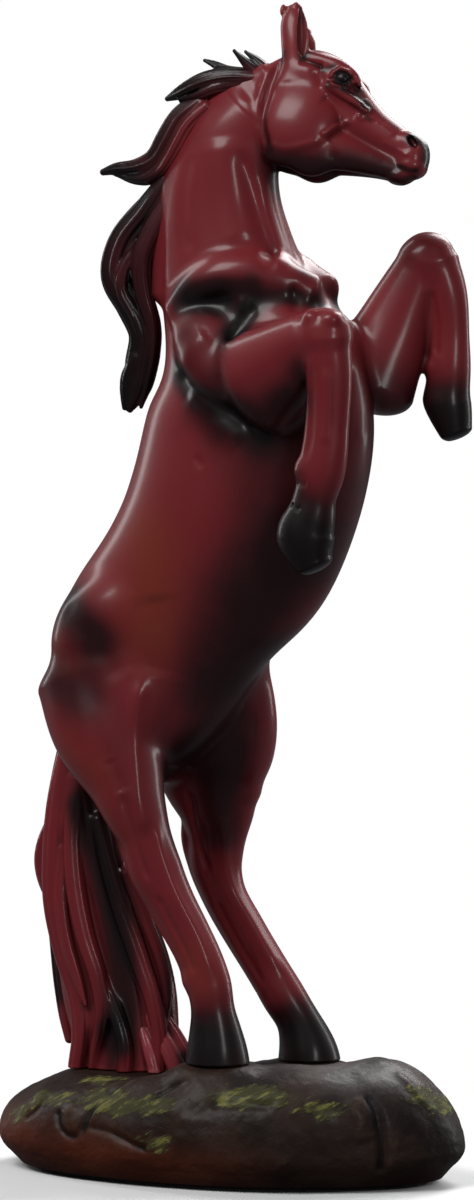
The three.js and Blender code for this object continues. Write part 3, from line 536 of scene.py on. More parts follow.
head_folds = [
    # upper and lower lid, and the corner of the eye
    side_stroke([(27.2, 277.9), (28.2, 280.1), (30.2, 281.1), (32, 280.4), (33, 278.6)], 0.55, 0.6),
    side_stroke([(27.2, 277.9), (28.6, 276.6), (30.6, 276.2), (32.2, 277), (33, 278.6)], 0.55, 0.5),
    side_stroke([(33.4, 278), (34.6, 276), (36.4, 274)], 0.7, -0.4),
    # hollows of the temple, behind the eye and under the cheek bone
    side_stroke([(18.6, 283), (22, 282.4), (25.4, 281.4)], 0.8, -0.5),
    side_stroke([(24, 279.6), (25, 277.6)], 1.3, -0.6, ends=0),
    side_stroke([(25.5, 273.6), (30, 271.4), (35, 268.8)], 1.6, -0.6),
    # front edge of the cheek with its two veins, and the rim of the jaw
    side_stroke([(26.6, 262.8), (28, 264.2), (30, 266.3), (32, 267.7), (33.6, 267.9)], 0.75, 0.5),
    side_stroke([(27.8, 262.4), (29.4, 264.2), (31.2, 265.8), (33, 266.6)], 0.9, -0.4),
    side_stroke([(34.4, 269.8), (35.6, 268.6), (37.2, 268.9), (39, 268.2)], 0.6, 0.35),
    side_stroke([(13, 262), (15, 260), (18, 259.6), (22, 260.4), (27, 262.4)], 1, 0.3),
    side_stroke([(30, 258.4), (31, 255.4)], 1.5, -0.8, ends=0),
    # crease between the cheek and the neck, and the fold of skin behind it
    side_stroke([(14, 285), (11.3, 275), (10.6, 267.5), (11.6, 263), (13.6, 259.6)], 1.2, -0.9),
    side_stroke([(11.8, 285.5), (9.2, 275.5), (8.6, 268), (9.4, 262)], 1.3, 0.5),
    # ridges along the nose, the mouth, and the notch over the chin
    side_stroke([(35.5, 274.6), (39, 271.8), (43, 269)], 0.7, 0.4),
    side_stroke([(35.5, 272.4), (38.5, 269.9), (42, 267.4)], 0.8, -0.35),
    side_stroke([(39.5, 268.6), (42, 266.6), (44.6, 264.4)], 0.8, 0.4),
    side_stroke([(41, 263.2), (45, 261), (49.2, 259)], 0.6, 0.4),
    side_stroke([(45.2, 266.8), (47.4, 265.6), (49.6, 264.4)], 0.5, 0.45),
    side_stroke([(40.4, 258.4), (43, 257.4), (46, 256.6), (49.8, 255.8)], 0.5, -0.8, ends=0.2),
    side_stroke([(39.4, 259.8), (41.2, 259.4)], 0.9, 0.4, ends=0),
    side_stroke([(42.4, 253.4), (43.4, 254.6)], 1, -0.6, ends=0),
]
EAR_FOOT = 280.5
RIGHT_EAR_LENGTH, LEFT_EAR_LENGTH = 18.9, 15.5


def turned(p, angle):
    """Points turned by an angle about the head's own length."""
    q = p - HEAD_PIVOT
    along = (q @ HEAD_AXIS)[..., None] * HEAD_AXIS
    turn = q * math.cos(angle) + np.cross(HEAD_AXIS, q) * math.sin(angle)
    return HEAD_PIVOT + turn + along * (1 - math.cos(angle))


def folded(p):
    """The same points with those of the right side carried over to the left, rounding the middle."""
    x, y, z = p.T
    return np.stack([x, np.sqrt(y * y + MIDDLE_ROUND ** 2), z], axis=1)


def ear(side, length):
    """An ear and the hollow that opens it forwards: a leaf that keeps its width almost to its blunt
    tip, which ends in two lobes."""
    def up(share):
        return EAR_FOOT + share * length

    leaf = field_of([
        sweep([
            (17.2, side * 4.2, up(-0.1), 3.6, 2.8),
            (17, side * 4.7, up(0.2), 3.4, 2.8),
            (16.5, side * 5.2, up(0.5), 3.6, 2.7),
            (15.8, side * 5.3, up(0.76), 3.2, 2.2),
            (15.7, side * 5.1, up(0.9), 2, 1.5),
        ], 1.4, blur=1),
        ball((16.3, side * 5.2, up(0.93)), (1.1, 0.9, 1.5), 0.7, along=(0, 0, 1), out=(0, 1, 0)),
        ball((12.9, side * 5.4, up(0.87)), (1.6, 0.9, 1.1), 0.8, along=(0, 0, 1), out=(0, 1, 0)),
    ])
    hollow = sweep([
        (18.8, side * 5.2, up(0.14), 1.1, 1),
        (19.2, side * 5.8, up(0.34), 2, 1.9),
        (18.9, side * 6.2, up(0.6), 2, 1.8),
        (17.7, side * 5.8, up(0.88), 0.7, 0.6),
    ], 0.5, blur=1)
    return (leaf, np.array([6, -14, up(-0.5)]), np.array([26, 14, up(1.3)]), 1.4), hollow


right_ear, right_hollow = ear(-1, RIGHT_EAR_LENGTH)
left_ear, left_hollow = ear(1, LEFT_EAR_LENGTH)
half_head = field_of(right_head, head_folds, head_cuts)


def whole_head(p):
    """Distance to the head where it is: the part that both sides share, joined with the two ears."""
    p = turned(p, -HEAD_ROLL)
    both_ears = field_of([right_ear, left_ear], start=half_head(folded(p)))
    return field_of([], [], [right_hollow, left_hollow], start=both_ears(p))(p)


def on_face(amounts):
    """Sprayed lines given in the head's own frame, on both sides of it."""
    def amount(p):
        value = np.zeros(len(p))
        m = in_box(p, HEAD_BOX[0], HEAD_BOX[1])
        if m is not None:
            q = folded(turned(p[m], -HEAD_ROLL))
            value[m] = 1 - np.prod([1 - np.clip(spray(q), 0, 1) for spray in amounts], axis=0)
        return value

    return amount


HEAD_BOX = (np.array([-4.0, -20.0, 240.0]), np.array([66.0, 24.0, 308.0]))
body.append((whole_head, HEAD_BOX[0], HEAD_BOX[1], 1.2))
black.append(on_face([
    # eye and the corner below it
    stroke([(30.1, 7.2, 278.8), (31, 6.8, 278.5)], 1.35, 2.4, ends=0),
    stroke([(27.4, 7, 276.6), (30.4, 7.2, 275.6), (33.2, 6.4, 274.8), (36.6, 5, 272)], 1.2, 1, ends=0),
    stroke([(25.6, 6.6, 280.6), (28, 7, 281.6)], 0.9, 0.6, ends=0),
    # along the side of the nose, and the temple; inside the ear
    stroke([(34, 5, 276.4), (39.4, 4.4, 272), (45, 4, 267.6)], 1.3, 0.75, ends=0),
    stroke([(19, 5.6, 285.4), (25, 6, 284.6), (31, 5.4, 282.6)], 1.1, 0.5, ends=0),
    stroke([(22, 6.8, 282.6), (25, 6.6, 281.2)], 0.8, 0.5, ends=0),
    stroke([(19.6, 6.4, 284), (19.6, 7, 290), (19, 6.6, 295)], 1.6, 0.8, ends=0),
    # tip of the nose, nostril, lips and chin
    stroke([(50.4, 3, 266), (53.2, 2, 262.6), (53.4, 1.4, 259)], 1.9, 1.1, ends=0),
    stroke([NOSTRIL, (48.8, 4.6, 263.9)], 1.2, 1.6, ends=0),
    stroke([(50.6, 3, 255.8), (46, 3.4, 256.6)], 0.7, 0.7, ends=0),
    stroke([(50, 1, 253.6), (46, 1, 252.6)], 1.6, 0.7, ends=0),
    # painted shade on the lower side of the jaw, and the crease behind the cheek
    stroke([(14, 4, 256), (24, 4, 255.4), (34, 3, 255.6), (42, 2, 254)], 5.4, 0.75, ends=0),
    stroke([(14, 6.4, 285), (11.3, 8, 275), (10.6, 8, 267.5), (12.6, 7, 260)], 1.5, 0.6, ends=0),
    # along the facial crest
    stroke([(33, 6.6, 271.6), (38, 5, 268.6)], 1, 0.4, ends=0),
]))
castings.append(("head", (-8, -20, 244), (60, 24, 306), 0.36, lambda p: -past(HEAD_JOINT, p)))


# The right foreleg.
# Folded: the forearm reaches forward and up to a square knee, and the shank hangs from it down to a
# small hoof whose sole looks back. It was cast on its own and is pinned to the shoulder.
def plane_cut(point, normal, reach, blend=0.5):
    """A part to be cut away: all that lies beyond a plane, within reach of a point on it."""
    point, normal = np.asarray(point, float), unit(np.asarray(normal, float))
    return (lambda p: (point - p) @ normal), point - reach, point + reach, blend


def whole(parts, blend, strokes=(), cuts=()):
    """Several parts with their own strokes and cuts, as one part of a larger field."""
    low = np.min([part[1] for part in parts], axis=0)
    high = np.max([part[2] for part in parts], axis=0)
    return field_of(parts, strokes, cuts), low, high, blend


RIGHT_FORE_JOINT = (np.array([13.0, -16.5, 205.5]), unit(np.array([0.87, -0.34, 0.36])))
RIGHT_SHANK_X = 21
RIGHT_FOREARM = [
    (14.5, -17.5, 203, 14, 9.3),
    (22, -20.5, 208, 11.4, 8.4),
    (29, -23.5, 213, 8.2, 6.8),
    (34.3, -26, 216, 6.2, 5.8),
]
RIGHT_CANNON = [
    (36.4, -27.2, 214, 6, 5.3),
    (37, -27.5, 208, 6, 4.8),
    (36.8, -27.8, 194, 5.6, 4.2),
    (35.2, -27.8, 181.5, 6, 5),
    (33.4, -27.8, 175, 5.4, 4.8),
    (32.4, -27.8, 170.5, 6.4, 5.6),
    (31, -27.8, 166.5, 7.4, 6.2),
    (31.4, -27.8, 162, 7, 6),
    (32.8, -27.8, 158.4, 5.4, 5),
]
right_forearm = sweep(RIGHT_FOREARM, 3, dome=0.8)
right_shank = whole([
    ball((35.9, -26.8, 216.4), (6.9, 5.9, 6), 2.4),
    sweep(RIGHT_CANNON, 2, dome=0.4, blur=1.2),
    # the two knobs of the knee cap, and the fetlock behind
    ball((33.5, -29.5, 220), (2.4, 2.6, 2), 1.4),
    ball((38.6, -29.6, 219.6), (2.6, 2.4, 2), 1.4),
    ball((31.4, -27.8, 182.2), (3, 3.8, 3.2), 1.8),
], 2, cuts=[plane_cut((26.2, -28, 161.5), (-0.76, 0, -0.65), 14, blend=0.8)])
body += [right_forearm, right_shank]
folds += [
    side_stroke([(34, 209), (34.2, 200), (33.8, 190), (32.8, 184)], 1.1, -0.5, side=-1),
    side_stroke([(38, 208), (38.2, 198), (37.6, 188)], 1.2, 0.3, side=-1),
    stroke([(28.5, -30.6, 207), (29.5, -31, 203), (31.2, -31, 199)], 1.6, -0.5),
    stroke([(29.6, -31, 179), (31.2, -32.4, 178.6), (33.4, -32.8, 178.9)], 0.7, -0.5),
    stroke([(28.4, -30.8, 173.8), (30, -32, 172.8), (32, -32.6, 172.4)], 0.7, -0.4),
]
black += [
    # hoof, pastern, the back of the knee, and painted shade in the hollow under the forearm
    stroke([(33, -28, 150), (31, -28, 165)], 10, 1.6, ends=0),
    stroke([(27, -31, 179), (30, -32, 172)], 4.5, 0.5, ends=0),
    stroke([(29.6, -28, 208), (31, -29, 200)], 3.4, 0.4, ends=0),
    stroke([(11, -26, 196), (19, -28, 194), (26, -28, 198)], 5, 0.55, ends=0),
]


def foreleg_cut(joint, shank_x, leg):
    """Under nought on a foreleg: beyond its joint or further forward than the start of its shank, and
    nearer to the leg's own skin than to the trunk's."""
    def cut(p):
        before = np.minimum(-past(joint, p), shank_x - p[:, 0])
        return np.maximum(before, leg(p) - trunk_alone(p))

    return cut


right_fore_cut = foreleg_cut(RIGHT_FORE_JOINT, RIGHT_SHANK_X, field_of([right_forearm, right_shank]))
castings.append(("right_foreleg", (2, -40, 150), (50, -4, 230), 0.5, right_fore_cut))


# The left foreleg.
# Raised higher than the right one and further forward, with the same square knee and small hoof.
LEFT_FORE_JOINT = (np.array([32.5, 15.0, 206.0]), unit(np.array([0.42, 0.2, 0.88])))
LEFT_SHANK_X = 44
LEFT_FOREARM = [
    (31.5, 14.5, 203, 13, 9.3),
    (36, 17, 213.7, 10.6, 8),
    (40.8, 18.5, 225, 8.2, 6.5),
    (44.6, 19.7, 233, 6.8, 5.8),
]
LEFT_CANNON = [
    (48, 20, 233, 6, 5.3),
    (50, 20, 226.5, 6, 4.8),
    (51.3, 20, 214, 5.6, 4.2),
    (51.6, 20, 206, 5.6, 4.9),
    (51.2, 20, 201.6, 5.8, 5),
    (50.9, 20, 197.6, 6.4, 5.5),
    (51.8, 20, 193.8, 6, 5.2),
    (53, 20, 190.2, 4.8, 4.7),
]
left_forearm = sweep(LEFT_FOREARM, 3, dome=0.8)
left_shank = whole([
    ball((45.8, 20, 235.3), (6.9, 5.9, 6), 2.4),
    sweep(LEFT_CANNON, 2, dome=0.4, blur=1.2),
    ball((43.8, 23, 238.6), (2.4, 2.6, 2), 1.4),
    ball((48, 20, 206.8), (2.8, 3.8, 2.8), 1.8),
], 2, cuts=[plane_cut((47.8, 20, 193.1), (-0.85, 0, -0.53), 14, blend=0.8)])
body += [left_forearm, left_shank]
folds += [
    side_stroke([(48, 227), (49.4, 220), (49.6, 212), (49.4, 209)], 1.1, -0.5, side=1),
    side_stroke([(48, 227), (49.4, 220), (49.6, 212), (49.4, 209)], 1.1, -0.4, side=-1),
]
black += [
    stroke([(52, 20, 182), (51.4, 20, 193)], 9.5, 1.6, ends=0),
    stroke([(44, 20, 226), (46.4, 20, 216)], 3.4, 0.35, ends=0),
    # painted shade under the forearm
    stroke([(32, 16, 196), (38, 18, 200)], 5, 0.4, ends=0),
]
left_fore_cut = foreleg_cut(LEFT_FORE_JOINT, LEFT_SHANK_X, field_of([left_forearm, left_shank]))
castings.append(("left_foreleg", (14, 3, 178), (64, 34, 250), 0.5, left_fore_cut))


# The right hind leg.
# Braced under the statue's weight, with a sharp hock whose tendon shows as a cord, and a wide hoof
# that stands flat on the rock. Its seam is a level cut through the gaskin.
HIND_JOINT_Z = 94.0
RIGHT_HIND = [
    (-32.5, -10, 126, 17, 10),
    (-29.5, -13.5, 114, 14, 10.5),
    (-23.5, -15.5, 102.5, 10.5, 9),
    (-19.8, -17, 94.5, 8, 7.5),
    (-16.6, -17, 86.7, 6.6, 6.2),
    (-14, -17, 79, 7, 5.8),
    (-9.7, -17, 71.7, 5.8, 5.2),
    (-5, -17, 63.5, 5.6, 4.6),
    (-1, -17, 55.5, 5.6, 4.7),
    (0.8, -17, 49.5, 5.8, 5.3),
    (1.5, -17, 45, 5.5, 5.1),
    (2.2, -17, 39.5, 6.6, 6),
    (2.8, -17, 33, 8, 7.4),
    (3, -17, 27, 8.6, 8),
]
RIGHT_TENDON = [
    (-26.5, -17.5, 100, 2.4, 2.4),
    (-23.6, -17.5, 92, 1.9, 1.8),
    (-21.2, -17.4, 85, 2.6, 2.2),
    (-18.6, -17.4, 78, 2.2, 2.2),
    (-13.2, -17.4, 67.5, 1.7, 2),
    (-6.2, -17.4, 56, 1.5, 1.9),
    (-4.4, -17.2, 51.5, 1.6, 2),
]
RIGHT_SHIN = [(-12.6, -21, 94), (-9.6, -22.6, 84), (-6.4, -22.4, 75), (-0.4, -21.4, 62), (3.4, -21.2, 51)]
right_thigh = [
    muscle((-25, -13, 138), (-19.5, -16, 112), 8.5, 5.5, 4),
    muscle((-25, -16.5, 105), (-17, -18, 87), 6.5, 6, 3),
]
body += [
    sweep(RIGHT_HIND, 5, blur=1.6),
    sweep(RIGHT_TENDON, 1.3, blur=1.2),
    ball((-3, -17, 51.5), (2.6, 3.4, 3), 2.4),
] + right_thigh
folds += [
    side_stroke([(-16, 130), (-18, 119), (-17, 108), (-15.5, 97), (-13.5, 87)], 2, 0.9, side=-1),
    side_stroke([(-20.4, 100), (-18.2, 91), (-16, 83), (-13.4, 76)], 1.1, -0.8, side=-1),
    side_stroke([(-12, 74), (-7.5, 65.5), (-3.4, 58), (-1.4, 53)], 1, -0.6, side=-1),
    side_stroke([(-24, 108), (-20, 99)], 1.6, -0.4, side=-1),
    # lit edge down the front of the hock and cannon
    stroke(RIGHT_SHIN, 1.8, 0.8),
]
hoof_cuts = [plane_cut((0, -17, 30.5), (0, 0, -1), 18)]
black += [
    # inner side of the thigh and gaskin, hock, and the hoof up to the pastern
    stroke([(-8, -8, 108), (-12, -10, 96), (-12, -12, 86)], 6, 0.7, ends=0),
    stroke([(-15, -19, 82), (-13, -20, 76)], 4, 0.2, ends=0),
    stroke([(3, -17, 26), (2.2, -17, 35)], 9.5, 1.7, ends=0),
]
amber += [
    stroke([(-24, -20, 96), (-20, -20, 86)], 4, 0.6, ends=0),
    stroke([(-3, -20, 58), (0, -20, 50)], 4.5, 0.6, ends=0),
]
castings.append(("right_hind_leg", (-36, -30, 26), (18, -2, 99), 0.5, lambda p: p[:, 2] - HIND_JOINT_Z))


# The left hind leg.
# A step ahead of the right one, modelled in the same way.
LEFT_HIND = [
    (-16.4, 10, 126.5, 22.6, 10),
    (-11.7, 12.5, 110, 18.8, 10.5),
    (-11.4, 14, 99.7, 14, 9),
    (-10.2, 15, 90, 9.8, 7.5),
    (-10.2, 15, 84, 7.4, 6.4),
    (-10.6, 15, 78.5, 7, 5.8),
    (-8.8, 15, 71.5, 5.8, 5.2),
    (-3, 15, 61.5, 5.6, 4.6),
    (3.8, 15, 51, 5.6, 4.7),
    (8.9, 15, 43.1, 5.8, 5.3),
    (12, 15, 38.6, 5.6, 5.1),
    (14, 15, 34, 6.8, 6.1),
    (15.2, 15, 29.4, 8, 7.4),
    (15.6, 15, 24, 8.6, 8),
]
LEFT_TENDON = [
    (-19.6, 15.5, 99, 2.4, 2.4),
    (-18.4, 15.5, 91, 1.9, 1.8),
    (-17.8, 15.4, 84, 2.6, 2.2),
    (-16.2, 15.4, 77, 2.2, 2.2),
    (-11.6, 15.4, 66.5, 1.7, 2),
    (-2.4, 15.4, 52.5, 1.5, 1.9),
    (2, 15.2, 47, 1.6, 2),
]
LEFT_SHIN = [(-5.6, 10, 93), (-5.6, 9, 84), (-4.4, 10, 75), (2.4, 10.8, 62), (9.8, 11, 49)]
left_thigh = [
    muscle((-16, 12, 136), (-4, 14.5, 110), 9, 6, 4, out=(0, 1, 0)),
    muscle((-12, 14.5, 101), (-10.2, 15.8, 83), 6.5, 5.8, 3, out=(0, 1, 0)),
]
body += [
    sweep(LEFT_HIND, 5, blur=1.6),
    sweep(LEFT_TENDON, 1.3, blur=1.2),
    ball((5.8, 15, 46.6), (2.6, 3.4, 3), 2.4),
] + left_thigh
folds += [
    side_stroke([(1, 124), (3, 113), (3, 103), (0.5, 92)], 2.4, 0.9, side=1),
    side_stroke([(-14.3, 98), (-14, 90), (-12.6, 82), (-10, 75)], 1.1, -0.8, side=1),
    side_stroke([(-9.6, 70), (-4.6, 61), (1.6, 51.6), (5.6, 46.6)], 1, -0.6, side=1),
    stroke(LEFT_SHIN, 1.8, 0.8),
    stroke([(-11, 8.4, 92), (-12, 9, 82), (-8.6, 9.6, 71), (-1.6, 10.4, 59), (5, 10.6, 48)], 1.4, -0.6),
]
hoof_cuts.append(plane_cut((16, 15, 28), (0, 0, -1), 18))
black += [
    stroke([(-4, 6, 108), (-6, 8, 96), (-7, 9, 86)], 6, 0.55, ends=0),
    stroke([(-2, 15, 61), (5, 15, 49)], 5, 0.2, ends=0),
    stroke([(16, 15, 23), (14.4, 15, 33)], 9.5, 1.7, ends=0),
]
amber.append(stroke([(-14, 19, 96), (-12, 20, 86)], 5, 0.5, ends=0))
castings.append(("left_hind_leg", (-32, 2, 23), (30, 28, 99), 0.5, lambda p: p[:, 2] - HIND_JOINT_Z))


# Casting the horse's body.
# Each casting is the skin of the field, cut open where a glue line runs and closed again there, with
# the field's own slope as its normals, so that two castings meet in one unbroken surface. All are
# sprayed with oxblood lacquer, shaded with black in the hollows and at the tips, darkened in the
# hollows with painted shade as well, and glazed amber.
def values(field, p, cube=60.0):
    """A field at many points, worked out cube by cube of space so that each batch meets few parts, and
    several batches at a time."""
    home = np.floor(p / cube).astype(np.int64) @ np.array([1 << 20, 1 << 10, 1])
    order = np.argsort(home, kind="stable")
    starts = np.nonzero(np.diff(home[order], prepend=home[order[0]] - 1))[0]
    batches = np.split(order, starts[1:])
    out = np.empty(len(p))
    with ThreadPoolExecutor(4) as pool:
        for batch, found in zip(batches, pool.map(lambda b: field(p[b]), batches)):
            out[batch] = found
    return out


def gradient(field, p, reach=0.08):
    """Slope of a field from four samples at the corners of a small tetrahedron, and their mean."""
    corner = np.array([[1, 1, 1], [1, -1, -1], [-1, 1, -1], [-1, -1, 1]], float)
    found = [values(field, p + reach * c) for c in corner]
    slope = sum(f[:, None] * c for f, c in zip(found, corner)) / (4 * reach)
    return slope, sum(found) / 4


def skin(field, low, high, step):
    """The surface where a field is nought, inside a box: the field is sampled on blocks of a grid that
    lie near it, each grid cell that it crosses gets the mean of its edge crossings as a vertex, each
    crossed grid edge a quad, and the vertices are then drawn onto the surface along its slope."""
    block = 6
    low, high = np.asarray(low, float), np.asarray(high, float)
    blocks = np.ceil((high - low) / (step * block)).astype(int)
    shape = blocks * block + 1
    middles = np.stack(np.meshgrid(*[np.arange(n) for n in blocks], indexing="ij"), -1).reshape(-1, 3)
    rough = values(field, low + (middles + 0.5) * block * step)
    samples = np.full(shape, 9.0, np.float32)
    near = np.abs(rough) < 1.5 * block * step + 1.5
    deep = middles[(rough < 0) & ~near]
    inner = np.arange(block + 1)
    grid = np.stack(np.meshgrid(inner, inner, inner, indexing="ij"), -1).reshape(-1, 3)
    for corner, known in ((deep, -9.0), (middles[near], None)):
        at = np.zeros(shape, bool)
        cells = (corner[:, None, :] * block + grid[None]).reshape(-1, 3)
        at[cells[:, 0], cells[:, 1], cells[:, 2]] = True
        cells = np.argwhere(at)
        samples[at] = known if known else values(field, low + cells * step)

    inside = samples < 0
    total = np.zeros(shape - 1, np.int8)
    corners = [(i, j, k) for i in (0, 1) for j in (0, 1) for k in (0, 1)]
    for i, j, k in corners:
        total += inside[i:shape[0] - 1 + i, j:shape[1] - 1 + j, k:shape[2] - 1 + k]
    crossed = (total > 0) & (total < 8)
    cells = np.argwhere(crossed)
    index = np.full(shape - 1, -1, np.int64)
    index[crossed] = np.arange(len(cells))
    position = np.zeros((len(cells), 3))
    count = np.zeros(len(cells))
    for a in corners:
        for axis in range(3):
            if a[axis]:
                continue
            b = tuple(1 if n == axis else a[n] for n in range(3))
            fa = samples[tuple((cells + a).T)]
            fb = samples[tuple((cells + b).T)]
            m = (fa < 0) != (fb < 0)
            t = fa[m] / (fa[m] - fb[m])
            position[m] += np.asarray(a) + t[:, None] * (np.asarray(b) - np.asarray(a))
            count[m] += 1
    v = low + step * (cells + position / count[:, None])

    quads = []
    for axis in range(3):
        u, w = (axis + 1) % 3, (axis + 2) % 3
        first = [slice(None)] * 3
        second = [slice(None)] * 3
        first[axis], second[axis] = slice(0, -1), slice(1, None)
        fa, fb = inside[tuple(first)], inside[tuple(second)]
        edge = np.argwhere(fa != fb)
        ok = (edge[:, u] > 0) & (edge[:, w] > 0) & (edge[:, u] < shape[u] - 1) & (edge[:, w] < shape[w] - 1)
        edge = edge[ok]
        out = fa[tuple(edge.T)]
        du, dw = np.eye(3, dtype=int)[u], np.eye(3, dtype=int)[w]
        ring = [edge - du - dw, edge - dw, edge, edge - du]
        quad = np.stack([index[tuple(r.T)] for r in ring], 1)
        quads.append(np.where(out[:, None], quad, quad[:, ::-1]))
    quads = np.concatenate(quads)
    quads = quads[(quads >= 0).all(1)]
    for _ in range(2):
        slope, value = gradient(field, v)
        v = v - np.clip(value / np.maximum((slope ** 2).sum(1), 0.05), -step, step)[:, None] * slope
    return v, quads


def clipped(v, tris, c):
    """The part of a mesh where c is under nought, closed by fans. Returns vertices, triangles and how
    many of the triangles, at the end of the list, belong to the fans."""
    c = np.where(np.abs(c) < 1e-5, -1e-5, c)
    inside = c < 0
    kind = inside[tris].sum(1)
    kept = [tris[kind == 3]]
    cut = tris[(kind == 1) | (kind == 2)]
    if len(cut) == 0:
        return v, kept[0], 0
    single = inside[cut].sum(1) == 1
    turn = np.where(single, np.argmax(inside[cut], 1), np.argmax(~inside[cut], 1))
    cut = np.stack([cut[np.arange(len(cut)), (turn + n) % 3] for n in range(3)], 1)
    pairs = np.sort(np.concatenate([cut[:, [0, 1]], cut[:, [0, 2]]]), 1)
    edges, which = np.unique(pairs, axis=0, return_inverse=True)
    which = which.reshape(-1)
    t = c[edges[:, 0]] / (c[edges[:, 0]] - c[edges[:, 1]])
    points = v[edges[:, 0]] + t[:, None] * (v[edges[:, 1]] - v[edges[:, 0]])
    ab = len(v) + which[:len(cut)]
    ac = len(v) + which[len(cut):]
    one, two = single, ~single
    kept.append(np.stack([cut[one, 0], ab[one], ac[one]], 1))
    kept.append(np.stack([ab[two], cut[two, 1], cut[two, 2]], 1))
    kept.append(np.stack([ab[two], cut[two, 2], ac[two]], 1))
    # the open edge runs from ac to ab on a lone corner, and from ab to ac on the others
    start = np.where(one, ab, ac)
    end = np.where(one, ac, ab)
    follows = dict(zip(start.tolist(), end.tolist()))
    v = np.concatenate([v, points])
    fans = []
    while follows:
        first, at = next(iter(follows.items()))
        del follows[first]
        loop = [first]
        while at != first and at in follows:
            loop.append(at)
            at = follows.pop(at)
        ring = np.array(loop)
        middle = len(v)
        v = np.concatenate([v, v[ring].mean(0, keepdims=True)])
        fans.append(np.stack([ring, np.full(len(ring), middle), np.roll(ring, -1)], 1))
    fans = np.concatenate(fans)
    return v, np.concatenate(kept + [fans]), len(fans)


def largest(v, tris, spare):
    """The largest joined part of a mesh, without the vertices that it doesn't use."""
    label = np.arange(len(v))
    while True:
        low = label[tris].min(1)
        new = label.copy()
        np.minimum.at(new, tris.reshape(-1), np.repeat(low, 3))
        new = new[new]
        if (new == label).all():
            break
        label = new
    names, counts = np.unique(label[tris[:, 0]], return_counts=True)
    keep = label[tris[:, 0]] == names[np.argmax(counts)]
    fans = int(keep[len(tris) - spare:].sum()) if spare else 0
    tris = tris[keep]
    used = np.unique(tris)
    index = np.full(len(v), -1)
    index[used] = np.arange(len(used))
    return v[used], index[tris], fans


def triangles(v, quads):
    """Two triangles for each quad, along its shorter diagonal."""
    d1 = ((v[quads[:, 0]] - v[quads[:, 2]]) ** 2).sum(1)
    d2 = ((v[quads[:, 1]] - v[quads[:, 3]]) ** 2).sum(1)
    short = (d1 <= d2)[:, None]
    first = np.where(short, quads[:, [0, 1, 2]], quads[:, [0, 1, 3]])
    second = np.where(short, quads[:, [0, 2, 3]], quads[:, [1, 2, 3]])
    return np.concatenate([first, second])


def mesh_of(name, v, tris, normals, fans=0, **paint):
    """A mesh in metres from arrays in millimetres, with its normals and its painted attributes."""
    mesh = bpy.data.meshes.new(name)
    mesh.vertices.add(len(v))
    mesh.vertices.foreach_set("co", (v * MM).astype(np.float32).reshape(-1))
    mesh.loops.add(len(tris) * 3)
    mesh.loops.foreach_set("vertex_index", tris.astype(np.int32).reshape(-1))
    mesh.polygons.add(len(tris))
    mesh.polygons.foreach_set("loop_start", np.arange(0, len(tris) * 3, 3, dtype=np.int32))
    mesh.polygons.foreach_set("use_smooth", np.ones(len(tris), bool))
    mesh.update(calc_edges=True)
    for word, amount in paint.items():
        mesh.attributes.new(word, "FLOAT", "POINT").data.foreach_set("value", amount.astype(np.float32))
    corner = normals[tris]
    if fans:
        a, b, c = (v[tris[-fans:, n]] for n in range(3))
        corner[-fans:] = unit(np.cross(b - a, c - a))[:, None, :]
    mesh.normals_split_custom_set(corner.reshape(-1, 3).tolist())
    return mesh


def srgb(r, g, b):
    """A shader colour from the 0 to 255 values that a screen shows."""
    share = np.array([r, g, b]) / 255
    linear = np.where(share <= 0.04, share / 12.92, ((share + 0.055) / 1.055) ** 2.4)
    return (*linear.tolist(), 1.0)


class Value:
    """A number inside a shader, added, subtracted and multiplied like any other number."""

    def __init__(self, shader, socket):
        self.shader = shader
        self.socket = socket

    def math(self, operation, a, b, clamp=False):
        """A Math node on two numbers or values."""
        node = self.shader.node("Math", {"operation": operation, "use_clamp": clamp}, {0: a, 1: b})
        return Value(self.shader, node.outputs[0])

    def __add__(self, other):
        return self.math("ADD", self, other)

    def __sub__(self, other):
        return self.math("SUBTRACT", self, other)

    def __rsub__(self, other):
        return self.math("SUBTRACT", other, self)

    def __mul__(self, other):
        return self.math("MULTIPLY", self, other)

    __radd__ = __add__
    __rmul__ = __mul__

    def share(self):
        """The number held between 0 and 1."""
        return self.math("ADD", self, 0.0, clamp=True)

    def over(self, other):
        """The larger of the two numbers."""
        return self.math("MAXIMUM", self, other)

    def ramp(self, low, high):
        """A smooth step from 0 at low to 1 at high."""
        node = self.shader.node("MapRange", {"interpolation_type": "SMOOTHSTEP"},
                                {"Value": self, "From Min": low, "From Max": high})
        return Value(self.shader, node.outputs["Result"])


